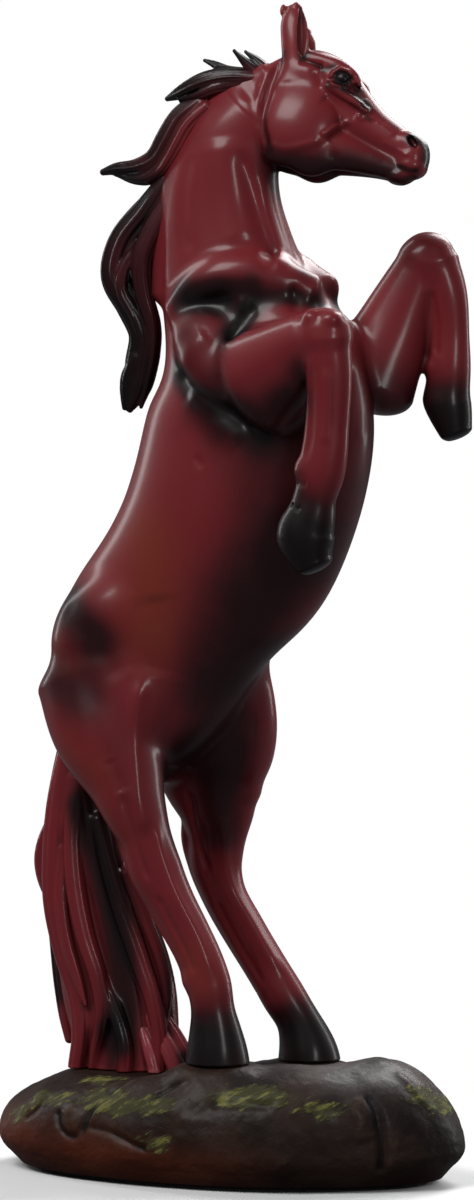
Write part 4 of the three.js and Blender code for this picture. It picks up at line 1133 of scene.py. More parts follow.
class Shader:
    """The nodes of a material or of the room, made from their types, settings and inputs."""

    def __init__(self, owner):
        owner.use_nodes = True
        self.tree = owner.node_tree

    def feed(self, node, name, value):
        """Link a value to an input of a node, or set it there."""
        socket = node.inputs[name]
        if isinstance(value, Value):
            self.tree.links.new(value.socket, socket)
        elif isinstance(value, bpy.types.NodeSocket):
            self.tree.links.new(value, socket)
        else:
            socket.default_value = value

    def node(self, kind, settings=None, inputs=None):
        """A node of some kind, with its settings made first and then its inputs."""
        node = self.tree.nodes.new("ShaderNode" + kind)
        for word, value in (settings or {}).items():
            setattr(node, word, value)
        for name, value in (inputs or {}).items():
            self.feed(node, name, value)
        return node

    def attribute(self, name):
        """A number painted on the mesh's vertices."""
        return Value(self, self.node("Attribute", {"attribute_name": name}).outputs["Fac"])

    def noise(self, size, detail=3.0, rough=0.5, stretch=(1, 1, 1), turn=(0, 0, 0)):
        """Noise from 0 to 1 whose features have a size in millimetres, drawn out and turned."""
        place = self.node("TexCoord").outputs["Object"]
        at = self.node("Mapping", {"vector_type": "TEXTURE"},
                       {"Vector": place, "Rotation": turn, "Scale": tuple(size * MM * s for s in stretch)})
        noise = self.node("TexNoise", None, {"Vector": at.outputs[0], "Scale": 1.0, "Detail": detail,
                                             "Roughness": rough})
        return Value(self, noise.outputs["Fac"])

    def mix(self, a, b, share):
        """A colour from a to b as share goes from 0 to 1."""
        node = self.node("Mix", {"data_type": "RGBA"}, {"Factor": share, 6: a, 7: b})
        return node.outputs[2]


class Finish(Shader):
    """A material on one principled surface, some of whose inputs are the same all over."""

    def __init__(self, name, **surface):
        self.material = bpy.data.materials.new(name)
        super().__init__(self.material)
        self.surface = self.tree.nodes["Principled BSDF"]
        for word, value in surface.items():
            self.feed(self.surface, word.replace("_", " "), value)

    def bump(self, height, distance):
        """Normals tilted by a height from 0 to 1 over a depth in millimetres."""
        node = self.node("Bump", None, {"Height": height, "Distance": distance * MM, "Strength": 1.0})
        self.feed(self.surface, "Normal", node.outputs["Normal"])


AMBER_GLAZE = (112, 46, 24)
THIN_BLACK = (44, 12, 15)
FULL_BLACK = (16, 8, 9)


def lacquer(name, deep, main, warm, black_floor=0.0):
    """Lacquered paint: deep in the hollows, partly the dark that settles there and partly painted shade,
    warm on what is raised, amber where it was glazed, and from a dark maroon to black where it was
    airbrushed or where shade is painted."""
    shader = Finish(name, Coat_Roughness=0.2, Coat_IOR=1.45, Specular_IOR_Level=0.14)
    cloud = shader.noise(26, detail=2)
    drift = shader.noise(9, detail=3)
    grain = shader.noise(0.9, detail=3, rough=0.6)
    hollow = shader.attribute("hollow").ramp(0.05, 0.6)
    raised = shader.attribute("raised").ramp(0.08, 0.6)
    # the black share: airbrushed black, and painted shade under the belly, the forearms and the jaw
    sprayed = shader.attribute("black") * (drift * 0.5 + 0.75) + (grain - 0.5) * 0.05 + black_floor
    sprayed = sprayed.over(0.0)
    color = shader.mix(srgb(*deep), srgb(*main), (cloud * 0.75 + drift * 0.25).ramp(0.2, 0.46) * 0.6 + 0.4)
    color = shader.mix(color, srgb(*warm), raised * 0.35)
    color = shader.mix(color, srgb(*AMBER_GLAZE), shader.attribute("amber") * 0.6)
    # painted shade: the hollows go towards the deep colour, along with the dark paint that settles there
    color = shader.mix(color, srgb(*deep), hollow * 0.6)
    color = shader.mix(color, srgb(*THIN_BLACK), sprayed.ramp(0.0, 0.6))
    color = shader.mix(color, srgb(*FULL_BLACK), (sprayed + hollow * sprayed * 0.4).ramp(0.45, 1.0))
    shader.feed(shader.surface, "Base Color", color)
    shader.feed(shader.surface, "Coat Weight", 0.38 - sprayed.share() * 0.14)
    shader.feed(shader.surface, "Roughness", drift * 0.14 + 0.4)
    shader.bump(grain * 0.4 + shader.noise(3.2, detail=2) * 0.6, 0.014)
    return shader.material


def sprayed_on(p, lines):
    """How much of a paint lies at points after all its sprayed lines, 0 to 1."""
    bare = np.ones(len(p))
    for amount in lines:
        bare *= 1 - np.clip(amount(p), 0, 1)
    return 1 - bare


FEEL = 1.6


def casting(node, field, low, high, step, material, cut=None):
    """A piece of the statue: the skin of a field in a box, kept where cut is under nought, with how
    hollow and how raised each place is, felt FEEL above and below the skin, and how much black and
    amber lies there, the black airbrushed or painted as shade."""
    step = step
    v, quads = skin(field, low, high, step)
    tris, fans = triangles(v, quads), 0
    if cut is not None:
        v, tris, fans = clipped(v, tris, cut(v))
    v, tris, fans = largest(v, tris, fans)
    slope, _ = gradient(field, v)
    normal = unit(slope)
    hollow = np.clip(1 - values(field, v + FEEL * normal) / FEEL, 0, 1)
    raised = np.clip(1 + values(field, v - FEEL * normal) / FEEL, 0, 1)
    mesh = mesh_of(node + "_casting", v, tris, normal, fans, hollow=hollow, raised=raised,
                   black=sprayed_on(v, black), amber=sprayed_on(v, amber))
    mesh.materials.append(material)
    piece = placed(node + "_casting", mesh)
    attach(piece, "root")
    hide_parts(node)


oxblood = lacquer("oxblood_lacquer", (64, 17, 20), (112, 32, 37), (132, 48, 50))
body_field = field_of(body, folds, hoof_cuts)
for node, low, high, step, cut in castings:
    casting(node, body_field, low, high, step, oxblood, cut)


# The tuft at the poll.
# Two small pointed wisps between the ears, where the mane begins: hair modelled as strands that are
# broad, flat and slightly wound, as on all the castings of hair. Nearly black, tipped with black.
def hair(count, depth, twist=2.0, phase=0.0):
    """Relief for a lock: grooves that wind a little as they run down its length, between broad
    strands, with a finer set over them, all fading out at both ends."""
    def relief(t, angle):
        drift = phase + 0.16 * twist * t + 0.1 * np.sin(4 * t + phase)
        broad = (0.5 + 0.5 * np.cos(count * (angle + drift))) ** 2
        fine = (0.5 + 0.5 * np.cos((2 * count + 3) * (angle + 0.8 * drift) + 2 * phase)) ** 2
        return depth * (broad + 0.35 * fine) * np.clip(6 * (1 - t), 0, 1) * np.clip(5 * t, 0, 1)

    return relief


def lock(*rows, blend=1.0, count=5, depth=0.34, twist=2.0, phase=0.0):
    """A lock of hair through sections of middle x, y, z, half deep, half wide, down to its tip."""
    return sweep(rows, blend, dome=0.9, relief=hair(count, depth, twist, phase), spacing=0.7, blur=1.0)


dark_red = lacquer("dark_lacquer", (38, 13, 17), (82, 26, 32), (134, 62, 68), black_floor=0.16)
black.append(stroke([(6, 0, 285), (1, -1, 287.5)], 2.4, 1.1, ends=0))
poll_tuft = field_of([
    lock(
        (8, 0, 280.5, 2.2, 2.2), (4.6, -0.6, 283.6, 1.5, 1.4), (1, -1, 287.2, 0.5, 0.5),
        count=3, depth=0.25,
    ),
    lock(
        (10, 0.3, 281.5, 2, 2), (6.6, 0.9, 284.6, 1.3, 1.2), (3.2, 1.2, 287, 0.45, 0.45),
        count=3, depth=0.25,
    ),
])
casting("mane_poll_tuft", poll_tuft, (-4, -6, 275), (15, 6, 292), 0.25, dark_red)


# The lock on the crest.
# A flat run of dark hair from the poll back over the top of the neck, with a tip that turns up.
black.append(stroke([(0, 0, 282), (-8, 0, 281), (-18, 0, 275)], 5, 1.0, ends=0))
crest_lock = field_of([
    lock(
        (7, 0, 280, 2.4, 3), (0, -0.8, 280.6, 2.6, 3.4), (-7, -1.4, 279.4, 2.7, 3.2),
        (-13, -1, 277, 2.1, 2.6), (-17.7, -0.2, 275.2, 0.7, 0.9),
        count=6,
    ),
    lock(
        (4, 0.8, 280.6, 2, 2), (-1.5, 0.8, 282, 1.6, 1.7), (-5, 0.6, 283.8, 1.1, 1.1),
        (-7.7, 0.4, 284.9, 0.5, 0.5),
        count=4, depth=0.3, phase=1,
    ),
    lock(
        (3, -2, 278.6, 1.6, 1.6), (-3.5, -3.2, 277.6, 1.5, 1.5), (-9, -3.2, 275.6, 1.2, 1.2),
        (-13.5, -2.2, 275, 0.5, 0.5),
        count=3, depth=0.3, phase=2,
    ),
    lock(
        (2, 2, 278.8, 1.8, 1.8), (-4, 3.2, 277.8, 1.7, 1.6), (-10, 3, 276.2, 1.4, 1.4),
        (-15, 2, 274.6, 0.5, 0.5),
        count=3, depth=0.3, phase=3,
    ),
])
casting("mane_crest_lock", crest_lock, (-22, -8, 268), (13, 8, 290), 0.3, dark_red)


# The flying lock.
# A thick red lock that leaves the neck and is blown straight back, its split tips dipped in black.
black += [
    stroke([(-27, 0, 256), (-37, 0, 257)], 4.2, 1.2, ends=0),
    stroke([(-18, -3, 268), (-21, -3, 262)], 2.4, 0.6, ends=0),
]
flying_lock = field_of([
    lock(
        (-8, 0, 274, 3, 4), (-13, -0.6, 270.4, 3.6, 4.2), (-16.8, -0.8, 264.8, 3.8, 4),
        (-20.5, -0.6, 260, 3.2, 3.4), (-27, -0.2, 257.8, 2.1, 2.4), (-32.5, 0, 257.4, 1.6, 1.7),
        (-35.8, 0.2, 256.6, 0.9, 1),
        count=6,
    ),
    lock(
        (-13, -0.6, 266, 3, 3.4), (-17, -1.6, 259.6, 3, 3), (-21.5, -1.4, 255.8, 2.5, 2.5),
        (-27, -0.6, 255, 1.6, 1.8), (-31.8, 0, 256, 0.6, 0.7),
        count=5, phase=1,
    ),
    lock(
        (-5.5, -3.4, 273, 1.7, 1.6), (-10, -4.4, 268.4, 2, 1.8), (-13.6, -4.6, 262.4, 1.9, 1.7),
        (-17.6, -3.6, 257.2, 1.3, 1.3), (-22, -2.2, 254.2, 0.6, 0.6),
        count=4, depth=0.35, phase=2,
    ),
    lock(
        (-6, 3.4, 272.6, 1.9, 1.8), (-11, 4.4, 267.6, 2.1, 1.9), (-15, 4.4, 261.4, 2, 1.8),
        (-20, 3.2, 257, 1.5, 1.5), (-26.5, 1.6, 254.4, 0.6, 0.6),
        count=4, depth=0.35, phase=3,
    ),
    lock(
        (-10, 2, 272, 2, 2), (-15.6, 2.6, 268, 1.7, 1.7), (-20, 2, 262.6, 1.4, 1.5),
        (-24.6, 1.2, 260.6, 0.6, 0.6),
        count=4, depth=0.3, phase=4,
    ),
])
casting("mane_flying_lock", flying_lock, (-40, -10, 248), (0, 10, 282), 0.33, oxblood)


# The lower lock.
# The mass of the mane: a long twisted lock that hangs from the neck to the withers, in flame-shaped
# strands, dark along its back edge.
black += [
    stroke([(-26, -4, 250), (-34, -4, 238), (-36, -4, 229)], 3.6, 0.7, ends=0),
    stroke([(-36, 0, 232), (-30, -3, 220), (-29, -3, 208), (-30, 0, 195)], 4, 0.9, ends=0),
]
lower_lock = field_of([
    lock(
        (-17, 0, 254, 3.4, 4), (-22.5, -0.6, 246.6, 4.2, 4.2), (-29.4, -1, 238.4, 4.6, 4.2),
        (-31.4, -1, 230.4, 4.6, 4.2), (-27.4, -0.6, 222.6, 4.3, 4), (-24.2, -0.2, 215.4, 4.2, 3.6),
        (-25.2, 0.2, 207, 4.5, 3.4), (-26.4, 0.2, 200.6, 3.4, 2.8), (-28.4, 0.2, 195.6, 0.8, 0.9),
        count=7, depth=0.55, twist=4,
    ),
    lock(
        (-15.5, -2.6, 250, 2.4, 2.4), (-19.4, -4, 243, 2.8, 2.2), (-23, -4.4, 234.6, 2.8, 2.2),
        (-22.8, -3.6, 225.6, 2.5, 2.1), (-20.6, -2.6, 217, 2.1, 1.9), (-21.4, -1.6, 208.6, 1.8, 1.7),
        (-23.6, -0.8, 201, 1.2, 1.2), (-25, -0.4, 196.4, 0.5, 0.5),
        count=4, phase=1,
    ),
    lock(
        (-21, 0.6, 251, 2, 2.4), (-28, 0.8, 244.4, 2.2, 2.6), (-33.6, 0.8, 236, 2, 2.4),
        (-34.2, 0.4, 228.6, 1.9, 2.2), (-30.4, 0.2, 221.8, 1.6, 1.8), (-27.6, 0, 216, 0.8, 0.9),
        count=5, depth=0.35, phase=2,
    ),
    lock(
        (-16, 2.8, 251, 2.6, 2.4), (-21, 4, 243.6, 3, 2.3), (-26, 4.2, 234.6, 3, 2.2),
        (-26.4, 3.4, 225, 2.6, 2.2), (-22.8, 2.6, 216.4, 2.3, 2), (-23.4, 1.8, 207, 2, 1.8),
        (-26, 1, 198.6, 0.6, 0.6),
        count=4, phase=3,
    ),
    lock(
        (-24, -3, 238, 1.5, 1.4), (-28, -4.4, 232, 1.6, 1.4), (-28.8, -4.4, 226, 1.5, 1.3),
        (-26, -3.6, 220, 1.1, 1.1), (-24.4, -3.2, 215, 0.5, 0.5),
        count=3, depth=0.25, phase=4,
    ),
    lock(
        (-25.5, -1.6, 209, 1.6, 1.5), (-28.6, -1.4, 204.6, 1.6, 1.4), (-29.6, -0.8, 199.6, 1.1, 1.1),
        (-29.8, -0.4, 196, 0.5, 0.5),
        count=3, depth=0.25, phase=5,
    ),
])
casting("mane_lower_lock", lower_lock, (-40, -10, 190), (-8, 10, 264), 0.36, dark_red)


# The tail.
# A broad curtain of hair that falls from the dock behind the hind legs and spreads on the rock,
# with a curl standing off its back edge: red strands behind, a black matt middle, maroon in front.
black += [
    stroke([(-38, -9, 94), (-34, -9, 80), (-30, -9, 66), (-27.6, -9, 54), (-27, -9, 42),
            (-28, -9, 34)], 4.8, 1, ends=0),
    stroke([(-38, 9, 92), (-32, 9, 70), (-28, 9, 48)], 7, 0.6, ends=0),
    stroke([(-18, -4, 66), (-15.6, -4, 48), (-15, -4, 40)], 3, 0.4, ends=0),
    stroke([(-31, -9, 36), (-31, -9, 27)], 3, 0.6, ends=0),
    stroke([(-34, -9, 96), (-30, -9, 84), (-25, -9, 68)], 5, 0.4, ends=0),
]
tail_cut = [plane_cut((-30, 0, 25.5), (0, 0, -1), 40)]
tail_hair = field_of([
    lock(
        (-41, 0, 111, 6, 5), (-42, 0, 102, 7.4, 6), (-41.4, 0, 92, 9, 6.8), (-40.2, 0, 80, 11, 7),
        (-37.4, 0, 68, 13, 7.2), (-34.6, 0, 55, 14.4, 7.2), (-32, 0, 42, 14.8, 7), (-30, 0, 33, 13.8, 7),
        (-29, 0, 20, 14, 7.6), (-29, 0, 14, 14, 7.6),
        count=9, depth=0.5, twist=1.6,
    ),
    # long red strands down the back edge
    lock(
        (-44.6, -2.4, 108, 2.6, 2.6), (-46.6, -4, 96, 3, 2.8), (-47.8, -5, 82, 3, 2.8),
        (-47.4, -5.4, 68, 3, 2.8), (-44.6, -5.4, 55, 2.8, 2.6), (-41, -5.4, 44, 2.6, 2.4),
        (-40, -5.6, 34, 2.4, 2.4), (-41.4, -5.4, 25, 2.2, 2.2), (-42, -5.4, 18, 2, 2),
        blend=1.7, count=3, phase=1,
    ),
    lock(
        (-41, -4.6, 100, 2.2, 2), (-41.8, -6.4, 88, 2.4, 2.2), (-40.6, -7.6, 74, 2.6, 2.4),
        (-37.6, -8, 60, 2.6, 2.4), (-34, -7.8, 49, 2.4, 2.2), (-33, -7.4, 40, 2, 2),
        (-35.4, -6.8, 30, 1.4, 1.5), (-36.6, -6.4, 26, 0.7, 0.7),
        blend=1.7, count=3, phase=2,
    ),
    lock(
        (-44.4, -5.6, 82, 1.4, 1.4), (-44.6, -7, 70, 1.8, 1.6), (-42.6, -7.6, 58, 1.8, 1.6),
        (-39.6, -7.8, 49, 1.4, 1.3), (-37.6, -7.8, 42.4, 0.5, 0.5),
        blend=1.2, count=3, depth=0.2, phase=3,
    ),
    # strands on the side towards the legs
    lock(
        (-35, -5, 90, 2, 2), (-31.6, -6.2, 78, 2.4, 2.2), (-27.4, -6.6, 66, 2.8, 2.4),
        (-23, -6.4, 54, 2.8, 2.4), (-19.6, -6, 44, 2.4, 2.2), (-18, -5.4, 34, 2.2, 2),
        (-18.6, -5, 24, 2, 2),
        blend=1.7, count=3, phase=4,
    ),
    lock(
        (-28, -3, 76, 2.2, 2.2), (-22.4, -3.4, 64, 2.6, 2.4), (-18.4, -3.2, 53, 2.4, 2.2),
        (-17, -3, 44, 1.6, 1.6), (-17.6, -3, 37, 0.6, 0.6),
        blend=1.7, count=3, phase=5,
    ),
    lock(
        (-33, -6, 48, 1.6, 1.6), (-29, -7.6, 40, 2, 1.8), (-26.6, -8, 32, 2.2, 2), (-27, -7.6, 24, 2, 2),
        blend=1.7, count=3, phase=6,
    ),
    # the left side, hidden from the front
    lock(
        (-43, 3.4, 104, 2.4, 2.4), (-44, 5.6, 90, 2.8, 2.6), (-42, 6.8, 74, 3, 2.8),
        (-38, 7.4, 58, 3, 2.6), (-35, 7.2, 44, 2.8, 2.4), (-36, 7, 30, 2.4, 2.4),
        (-36.6, 7, 18, 2.2, 2.2),
        blend=1.7, count=3, phase=7,
    ),
    lock(
        (-36, 5, 88, 2.2, 2.2), (-31.4, 6.6, 74, 2.8, 2.4), (-26, 7, 60, 2.8, 2.4),
        (-23, 6.6, 46, 2.6, 2.4), (-24, 6.4, 32, 2.4, 2.2), (-24.6, 6.4, 18, 2.2, 2.2),
        blend=1.7, count=3, phase=8,
    ),
    lock(
        (-30, 3, 72, 2, 2), (-23.6, 3.2, 60, 2.4, 2.2), (-19.4, 3, 48, 2.2, 2), (-18, 2.6, 36, 2, 2),
        (-18.4, 2.4, 22, 1.8, 1.8),
        blend=1.7, count=3, phase=9,
    ),
    # the curl behind
    lock(
        (-47.4, 1.6, 92, 2, 2.2), (-51.4, 2.4, 86.4, 2.6, 2.6), (-53.4, 2.8, 78.4, 3.2, 2.8),
        (-51.6, 2.6, 70.6, 2.8, 2.6), (-48.4, 2, 65, 1.6, 1.6),
        blend=1.7, count=3, phase=10,
    ),
], cuts=tail_cut)
casting("tail", tail_hair, (-60, -14, 22), (-8, 14, 120), 0.42, oxblood)


# The outer lock of the tail.
# A long lock that hangs free behind the curtain, black but for its red tip.
black += [
    stroke([(-54, 6, 74), (-52.5, 7, 54), (-50.6, 6, 44)], 4.6, 1, ends=0),
]
outer_lock = field_of([
    lock(
        (-47, 4.4, 84, 2, 2.2), (-50.4, 5.4, 76, 2.4, 2.6), (-51.4, 5.8, 66, 2.6, 2.8),
        (-50.6, 5.8, 54, 2.6, 2.8), (-49.6, 5.4, 44, 2.3, 2.4), (-48.6, 5, 37, 1.9, 1.9),
        (-47.6, 4.8, 31.4, 1.3, 1.3),
        count=5, phase=1,
    ),
    lock(
        (-48.4, 6.6, 70, 1.4, 1.5), (-49, 7.6, 60, 1.7, 1.7), (-47.6, 7.4, 49, 1.6, 1.6),
        (-46.4, 6.8, 40, 0.6, 0.6),
        count=3, depth=0.25, phase=2,
    ),
])
casting("tail_outer_lock", outer_lock, (-58, 0, 26), (-42, 12, 90), 0.34, oxblood)


# The foot lock of the tail.
# A short lock that runs out on the rock in front of the tail's foot, pale on its ridges.
pale_red = lacquer("pale_lacquer", (70, 20, 26), (132, 48, 54), (176, 104, 104))
black.append(stroke([(-9.4, -4, 30), (-8.6, -4, 25)], 3.2, 1.2, ends=0))
foot_lock = field_of([
    lock(
        (-22, -2.4, 41, 1.8, 2.2), (-18.6, -4, 35.6, 2.3, 2.5), (-15, -4.6, 30, 2.6, 2.6),
        (-12.4, -4.6, 24, 2.6, 2.6), (-11, -4.4, 19, 2.4, 2.4),
        count=4,
    ),
    lock(
        (-20, 0, 40, 1.8, 2), (-16, -0.4, 34.6, 2.2, 2.4), (-12.6, -0.6, 29, 2.2, 2.4),
        (-10.6, -0.6, 23, 2.2, 2.2), (-10, -0.6, 19, 2, 2),
        count=4, phase=1,
    ),
    lock(
        (-23, -4.4, 36, 1.4, 1.4), (-20.6, -6.2, 31.6, 1.8, 1.7), (-18.8, -6.8, 26, 1.8, 1.7),
        (-18, -6.8, 20, 1.6, 1.6),
        count=3, depth=0.3, phase=2,
    ),
], cuts=tail_cut)
casting("tail_foot_lock", foot_lock, (-28, -12, 22), (-4, 5, 46), 0.32, pale_red)


# The rock.
# A smooth cast boulder with a few modelled creases and rounded lobes, levelled under the hooves and
# the tail, painted dark brown with moss dry-brushed over it, and a pale grey highlight painted on its hump.
ROCK_LENGTH, ROCK_WIDTH = 126, 70
ROCK_FOOT, ROCK_WAIST, ROCK_EDGE = 1.5, 9.5, 14
# height of the top over the rock's middle, where its nose starts to fall, and the hump's place
ROCK_TOP, NOSE_X = 27.6, 42
HUMP_X, HUMP_Y, HUMP_HEIGHT = 37, -3, 1.3
# level seats of the hooves and the tail: x, y, z, radius; the paint lies a hair under them
SEATS = [(2.7, -17, 30.5, 9), (15.4, 15, 28, 9), (-28.5, 0, 25.5, 17)]
SEAT_CLEARANCE = 0.12
# how square the oval of its plan is: 2 would be an ellipse
OVAL_POWER = 2.25


def rock_plan(angle, share):
    """Points of the rock's wavy oval, |x|^n + |y|^n = 1, at an angle and a share of its radius."""
    c, s = np.cos(angle), np.sin(angle)
    wave = 1 - 0.02 * (1 - np.cos(4 * angle)) - 0.05 * np.sin(2 * angle) ** 2 * c
    k = share * wave * (np.abs(c) ** OVAL_POWER + np.abs(s) ** OVAL_POWER) ** (-1 / OVAL_POWER)
    return ROCK_LENGTH / 2 * k * c, ROCK_WIDTH / 2 * k * s


def rock_height(x, y):
    """Height of the top over the plan: a slope that rises forwards and falls to the sides, with a
    rounded nose, a slow wave, a hump, and the level seats."""
    nose = 0.0138 * np.maximum(0, x - NOSE_X) ** 2
    sides = 0.0016 * y * y + 0.05 * y
    wave = 0.5 * np.sin(0.17 * x + 0.13 * y)
    hump = HUMP_HEIGHT * np.exp(-((x - HUMP_X) / 9) ** 2 - ((y - HUMP_Y) / 12) ** 2)
    z = ROCK_TOP + 0.075 * x - nose - sides + wave + hump
    for sx, sy, sz, radius in SEATS:
        r = np.clip((np.hypot(x - sx, y - sy) / radius - 1) / 0.7, 0, 1)
        hold = 1 - r * r * (3 - 2 * r)
        z = z + (sz - SEAT_CLEARANCE - z) * hold
    return z


def value_noise(p, size, seed):
    """Smooth noise from -1 to 1 at points: random numbers on a lattice, eased between its corners."""
    q = p / size + seed * 17.3
    cell = np.floor(q).astype(np.int64)
    t = q - cell
    t = t * t * (3 - 2 * t)
    total = np.zeros(len(p))
    for corner in np.ndindex(2, 2, 2):
        n = cell + np.array(corner)
        h = (n[:, 0] * 73856093) ^ (n[:, 1] * 19349663) ^ (n[:, 2] * 83492791)
        h = (h ^ (h >> 13)) * 1274126177
        random = ((h ^ (h >> 16)) & 0xFFFF) / 32767.5 - 1
        weight = np.prod(np.where(np.array(corner) == 1, t, 1 - t), axis=1)
        total += weight * random
    return total


ROCK_AROUND, ROCK_UP = ((460, 190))
SIDE_RINGS, SHOULDER_RINGS = 0.22, 0.34
FOOT_SHARE = 0.9
around = np.arange(ROCK_AROUND) * 2 * math.pi / ROCK_AROUND
shoulder = ROCK_EDGE / (ROCK_WIDTH / 2)
rings = []
for up in np.linspace(0, 1, ROCK_UP):
    # the side from the foot to the waist, the rounded shoulder, then the top in to the middle
    if up < SIDE_RINGS:
        k = up / SIDE_RINGS
        share = FOOT_SHARE + (1 - FOOT_SHARE) * math.sin(k * math.pi / 2)
        x, y = rock_plan(around, share)
        z = np.full_like(x, ROCK_FOOT + (ROCK_WAIST - ROCK_FOOT) * k)
    elif up < SIDE_RINGS + SHOULDER_RINGS:
        k = (up - SIDE_RINGS) / SHOULDER_RINGS
        a = k * math.pi / 2
        x, y = rock_plan(around, 1 - shoulder * (1 - math.cos(a)))
        top = rock_height(x, y)
        z = top - ROCK_EDGE * (1 - math.sin(a))
        z = z + (ROCK_WAIST - (top - ROCK_EDGE)) * (1 - k) ** 3
    else:
        k = (up - SIDE_RINGS - SHOULDER_RINGS) / (1 - SIDE_RINGS - SHOULDER_RINGS)
        x, y = rock_plan(around, (1 - shoulder) * (1 - k) + 0.0005)
        z = rock_height(x, y)
    rings.append(np.stack([x, y, z], 1))
rock_v = np.concatenate(rings)


def ring_normals(v, around_count):
    """Outward normals of points in rings: the cross product of the steps round and up."""
    g = v.reshape(-1, around_count, 3)
    round_step = np.roll(g, -1, axis=1) - np.roll(g, 1, axis=1)
    up_step = np.gradient(g, axis=0)
    return unit(np.cross(round_step, up_step).reshape(-1, 3))


rock_strokes = [
    # long crease from the tail's foot down the front, and the lip along it
    stroke([(-17, -21, 26), (-19.5, -23.2, 25.3), (-24.9, -27.9, 21.5), (-28.3, -30.7, 16.2),
            (-29.5, -31.8, 11)], 1, -0.9),
    stroke([(-16, -23, 26), (-18.6, -25.2, 24.4), (-23, -29, 20.6), (-26.4, -31, 16)], 1.1, 0.7),
    # shell-like lobe
    stroke([(-37, -26.6, 18.6), (-36.4, -28.4, 14.6), (-32.5, -30.6, 11.6), (-29.6, -31.4, 12.6)],
           1.1, -0.8),
    stroke([(-33, -29, 17.6), (-32.4, -29.6, 16)], 3, 0.9, ends=0),
    stroke([(-41, -22, 20.6), (-45, -23.6, 17), (-49, -22.6, 14)], 1, -0.7),
    stroke([(-46.7, -18.6, 20.8), (-43.7, -22, 19.7), (-41.4, -24.1, 18.8)], 1.6, 0.6),
    # arcs over the front
    stroke([(0, -27, 27), (-5.8, -28.6, 25.6), (-8.6, -30, 23.6), (-9.4, -32, 20.6)], 0.9, -0.9),
    stroke([(-29.2, -30.7, 14.8), (-20, -33, 13.8), (-13, -34.3, 11.2), (-8, -34.8, 9.6)], 1, -0.7),
    stroke([(-12, -16, 26.6), (-4, -24, 26.4), (4, -27, 26)], 1.4, 0.6),
    stroke([(5, -31.7, 22.4), (14, -30.6, 23.2), (24, -29.6, 22.4)], 1.6, -0.6),
    # groove down the right front, beside the hump
    stroke([(43.3, -17.6, 25.4), (46.9, -19.6, 21.4), (48.6, -20.2, 16), (48.9, -20.2, 10),
            (47.8, -19, 4)], 1.3, -1.2, ends=0.1),
    stroke([(40, -20, 24), (43.5, -22, 19), (45, -22.4, 13)], 2.4, 0.6),
    stroke([(46.9, -7.2, 29.4), (52.8, -8.6, 26.5), (57, -8, 21)], 1.4, 0.6),
    # the back and the ends
    stroke([(-52, 4, 22), (-50, 16, 19), (-44, 25, 13)], 1.2, -1),
    stroke([(-20, 30, 19), (-8, 33, 14), (2, 34, 8)], 1.2, -1),
    stroke([(26, 20, 26), (34, 24, 19), (37, 26, 10)], 1.2, -1.1),
    stroke([(8, 27, 24), (16, 30, 19), (24, 29, 16)], 1.6, 0.7),
]
rock_n = ring_normals(rock_v, ROCK_AROUND)
clear = np.ones(len(rock_v))
for sx, sy, _, radius in SEATS:
    clear *= np.clip((np.hypot(rock_v[:, 0] - sx, rock_v[:, 1] - sy) / radius - 0.85) * 3, 0, 1)
lift = 0.75 * value_noise(rock_v, 13, 1) + 0.35 * value_noise(rock_v, 6, 2)
lift += 0.16 * value_noise(rock_v, 2.6, 3) + 0.07 * value_noise(rock_v, 1.1, 4)
crease = sum(amount(rock_v) for amount in rock_strokes)
low_fade = np.clip((rock_v[:, 2] - ROCK_FOOT) / 3, 0, 1)
rock_v = rock_v + ((lift * 0.8 + crease) * clear * low_fade - 0.35 * low_fade * clear)[:, None] * rock_n

at = np.arange(ROCK_AROUND)
nxt = (at + 1) % ROCK_AROUND
quads = np.concatenate([np.stack([k * ROCK_AROUND + at, k * ROCK_AROUND + nxt, (k + 1) * ROCK_AROUND + nxt,
                                  (k + 1) * ROCK_AROUND + at], 1) for k in range(ROCK_UP - 1)])
last_ring = (ROCK_UP - 1) * ROCK_AROUND
foot_middle, top_middle = len(rock_v), len(rock_v) + 1
rock_n = ring_normals(rock_v, ROCK_AROUND)
rock_v = np.concatenate([rock_v, [(0, 0, ROCK_FOOT)], rock_v[last_ring:].mean(0, keepdims=True)])
rock_tris = np.concatenate([
    triangles(rock_v, quads),
    np.stack([last_ring + at, last_ring + nxt, np.full(ROCK_AROUND, top_middle)], 1),
    np.stack([nxt, at, np.full(ROCK_AROUND, foot_middle)], 1),
])
rock_n = np.concatenate([rock_n, [(0, 0, -1), (0, 0, 1)]])
grid = rock_v[:-2].reshape(ROCK_UP, ROCK_AROUND, 3)
blurred = grid.copy()
for _ in range(12):
    blurred = 0.25 * (np.roll(blurred, 1, 1) + np.roll(blurred, -1, 1)) + 0.5 * blurred
    inner = 0.25 * (blurred[:-2] + blurred[2:]) + 0.5 * blurred[1:-1]
    blurred = np.concatenate([blurred[:1], inner, blurred[-1:]])
stands_out = ((grid - blurred).reshape(-1, 3) * rock_n[:-2]).sum(1)
stands_out = np.concatenate([stands_out, [0, 0]])


def patch(p, middle, reach):
    """A soft round patch: 1 in its middle and 0 past its reach in x, y and z."""
    return np.exp(-(((p - np.asarray(middle, float)) / np.asarray(reach, float)) ** 2).sum(1))


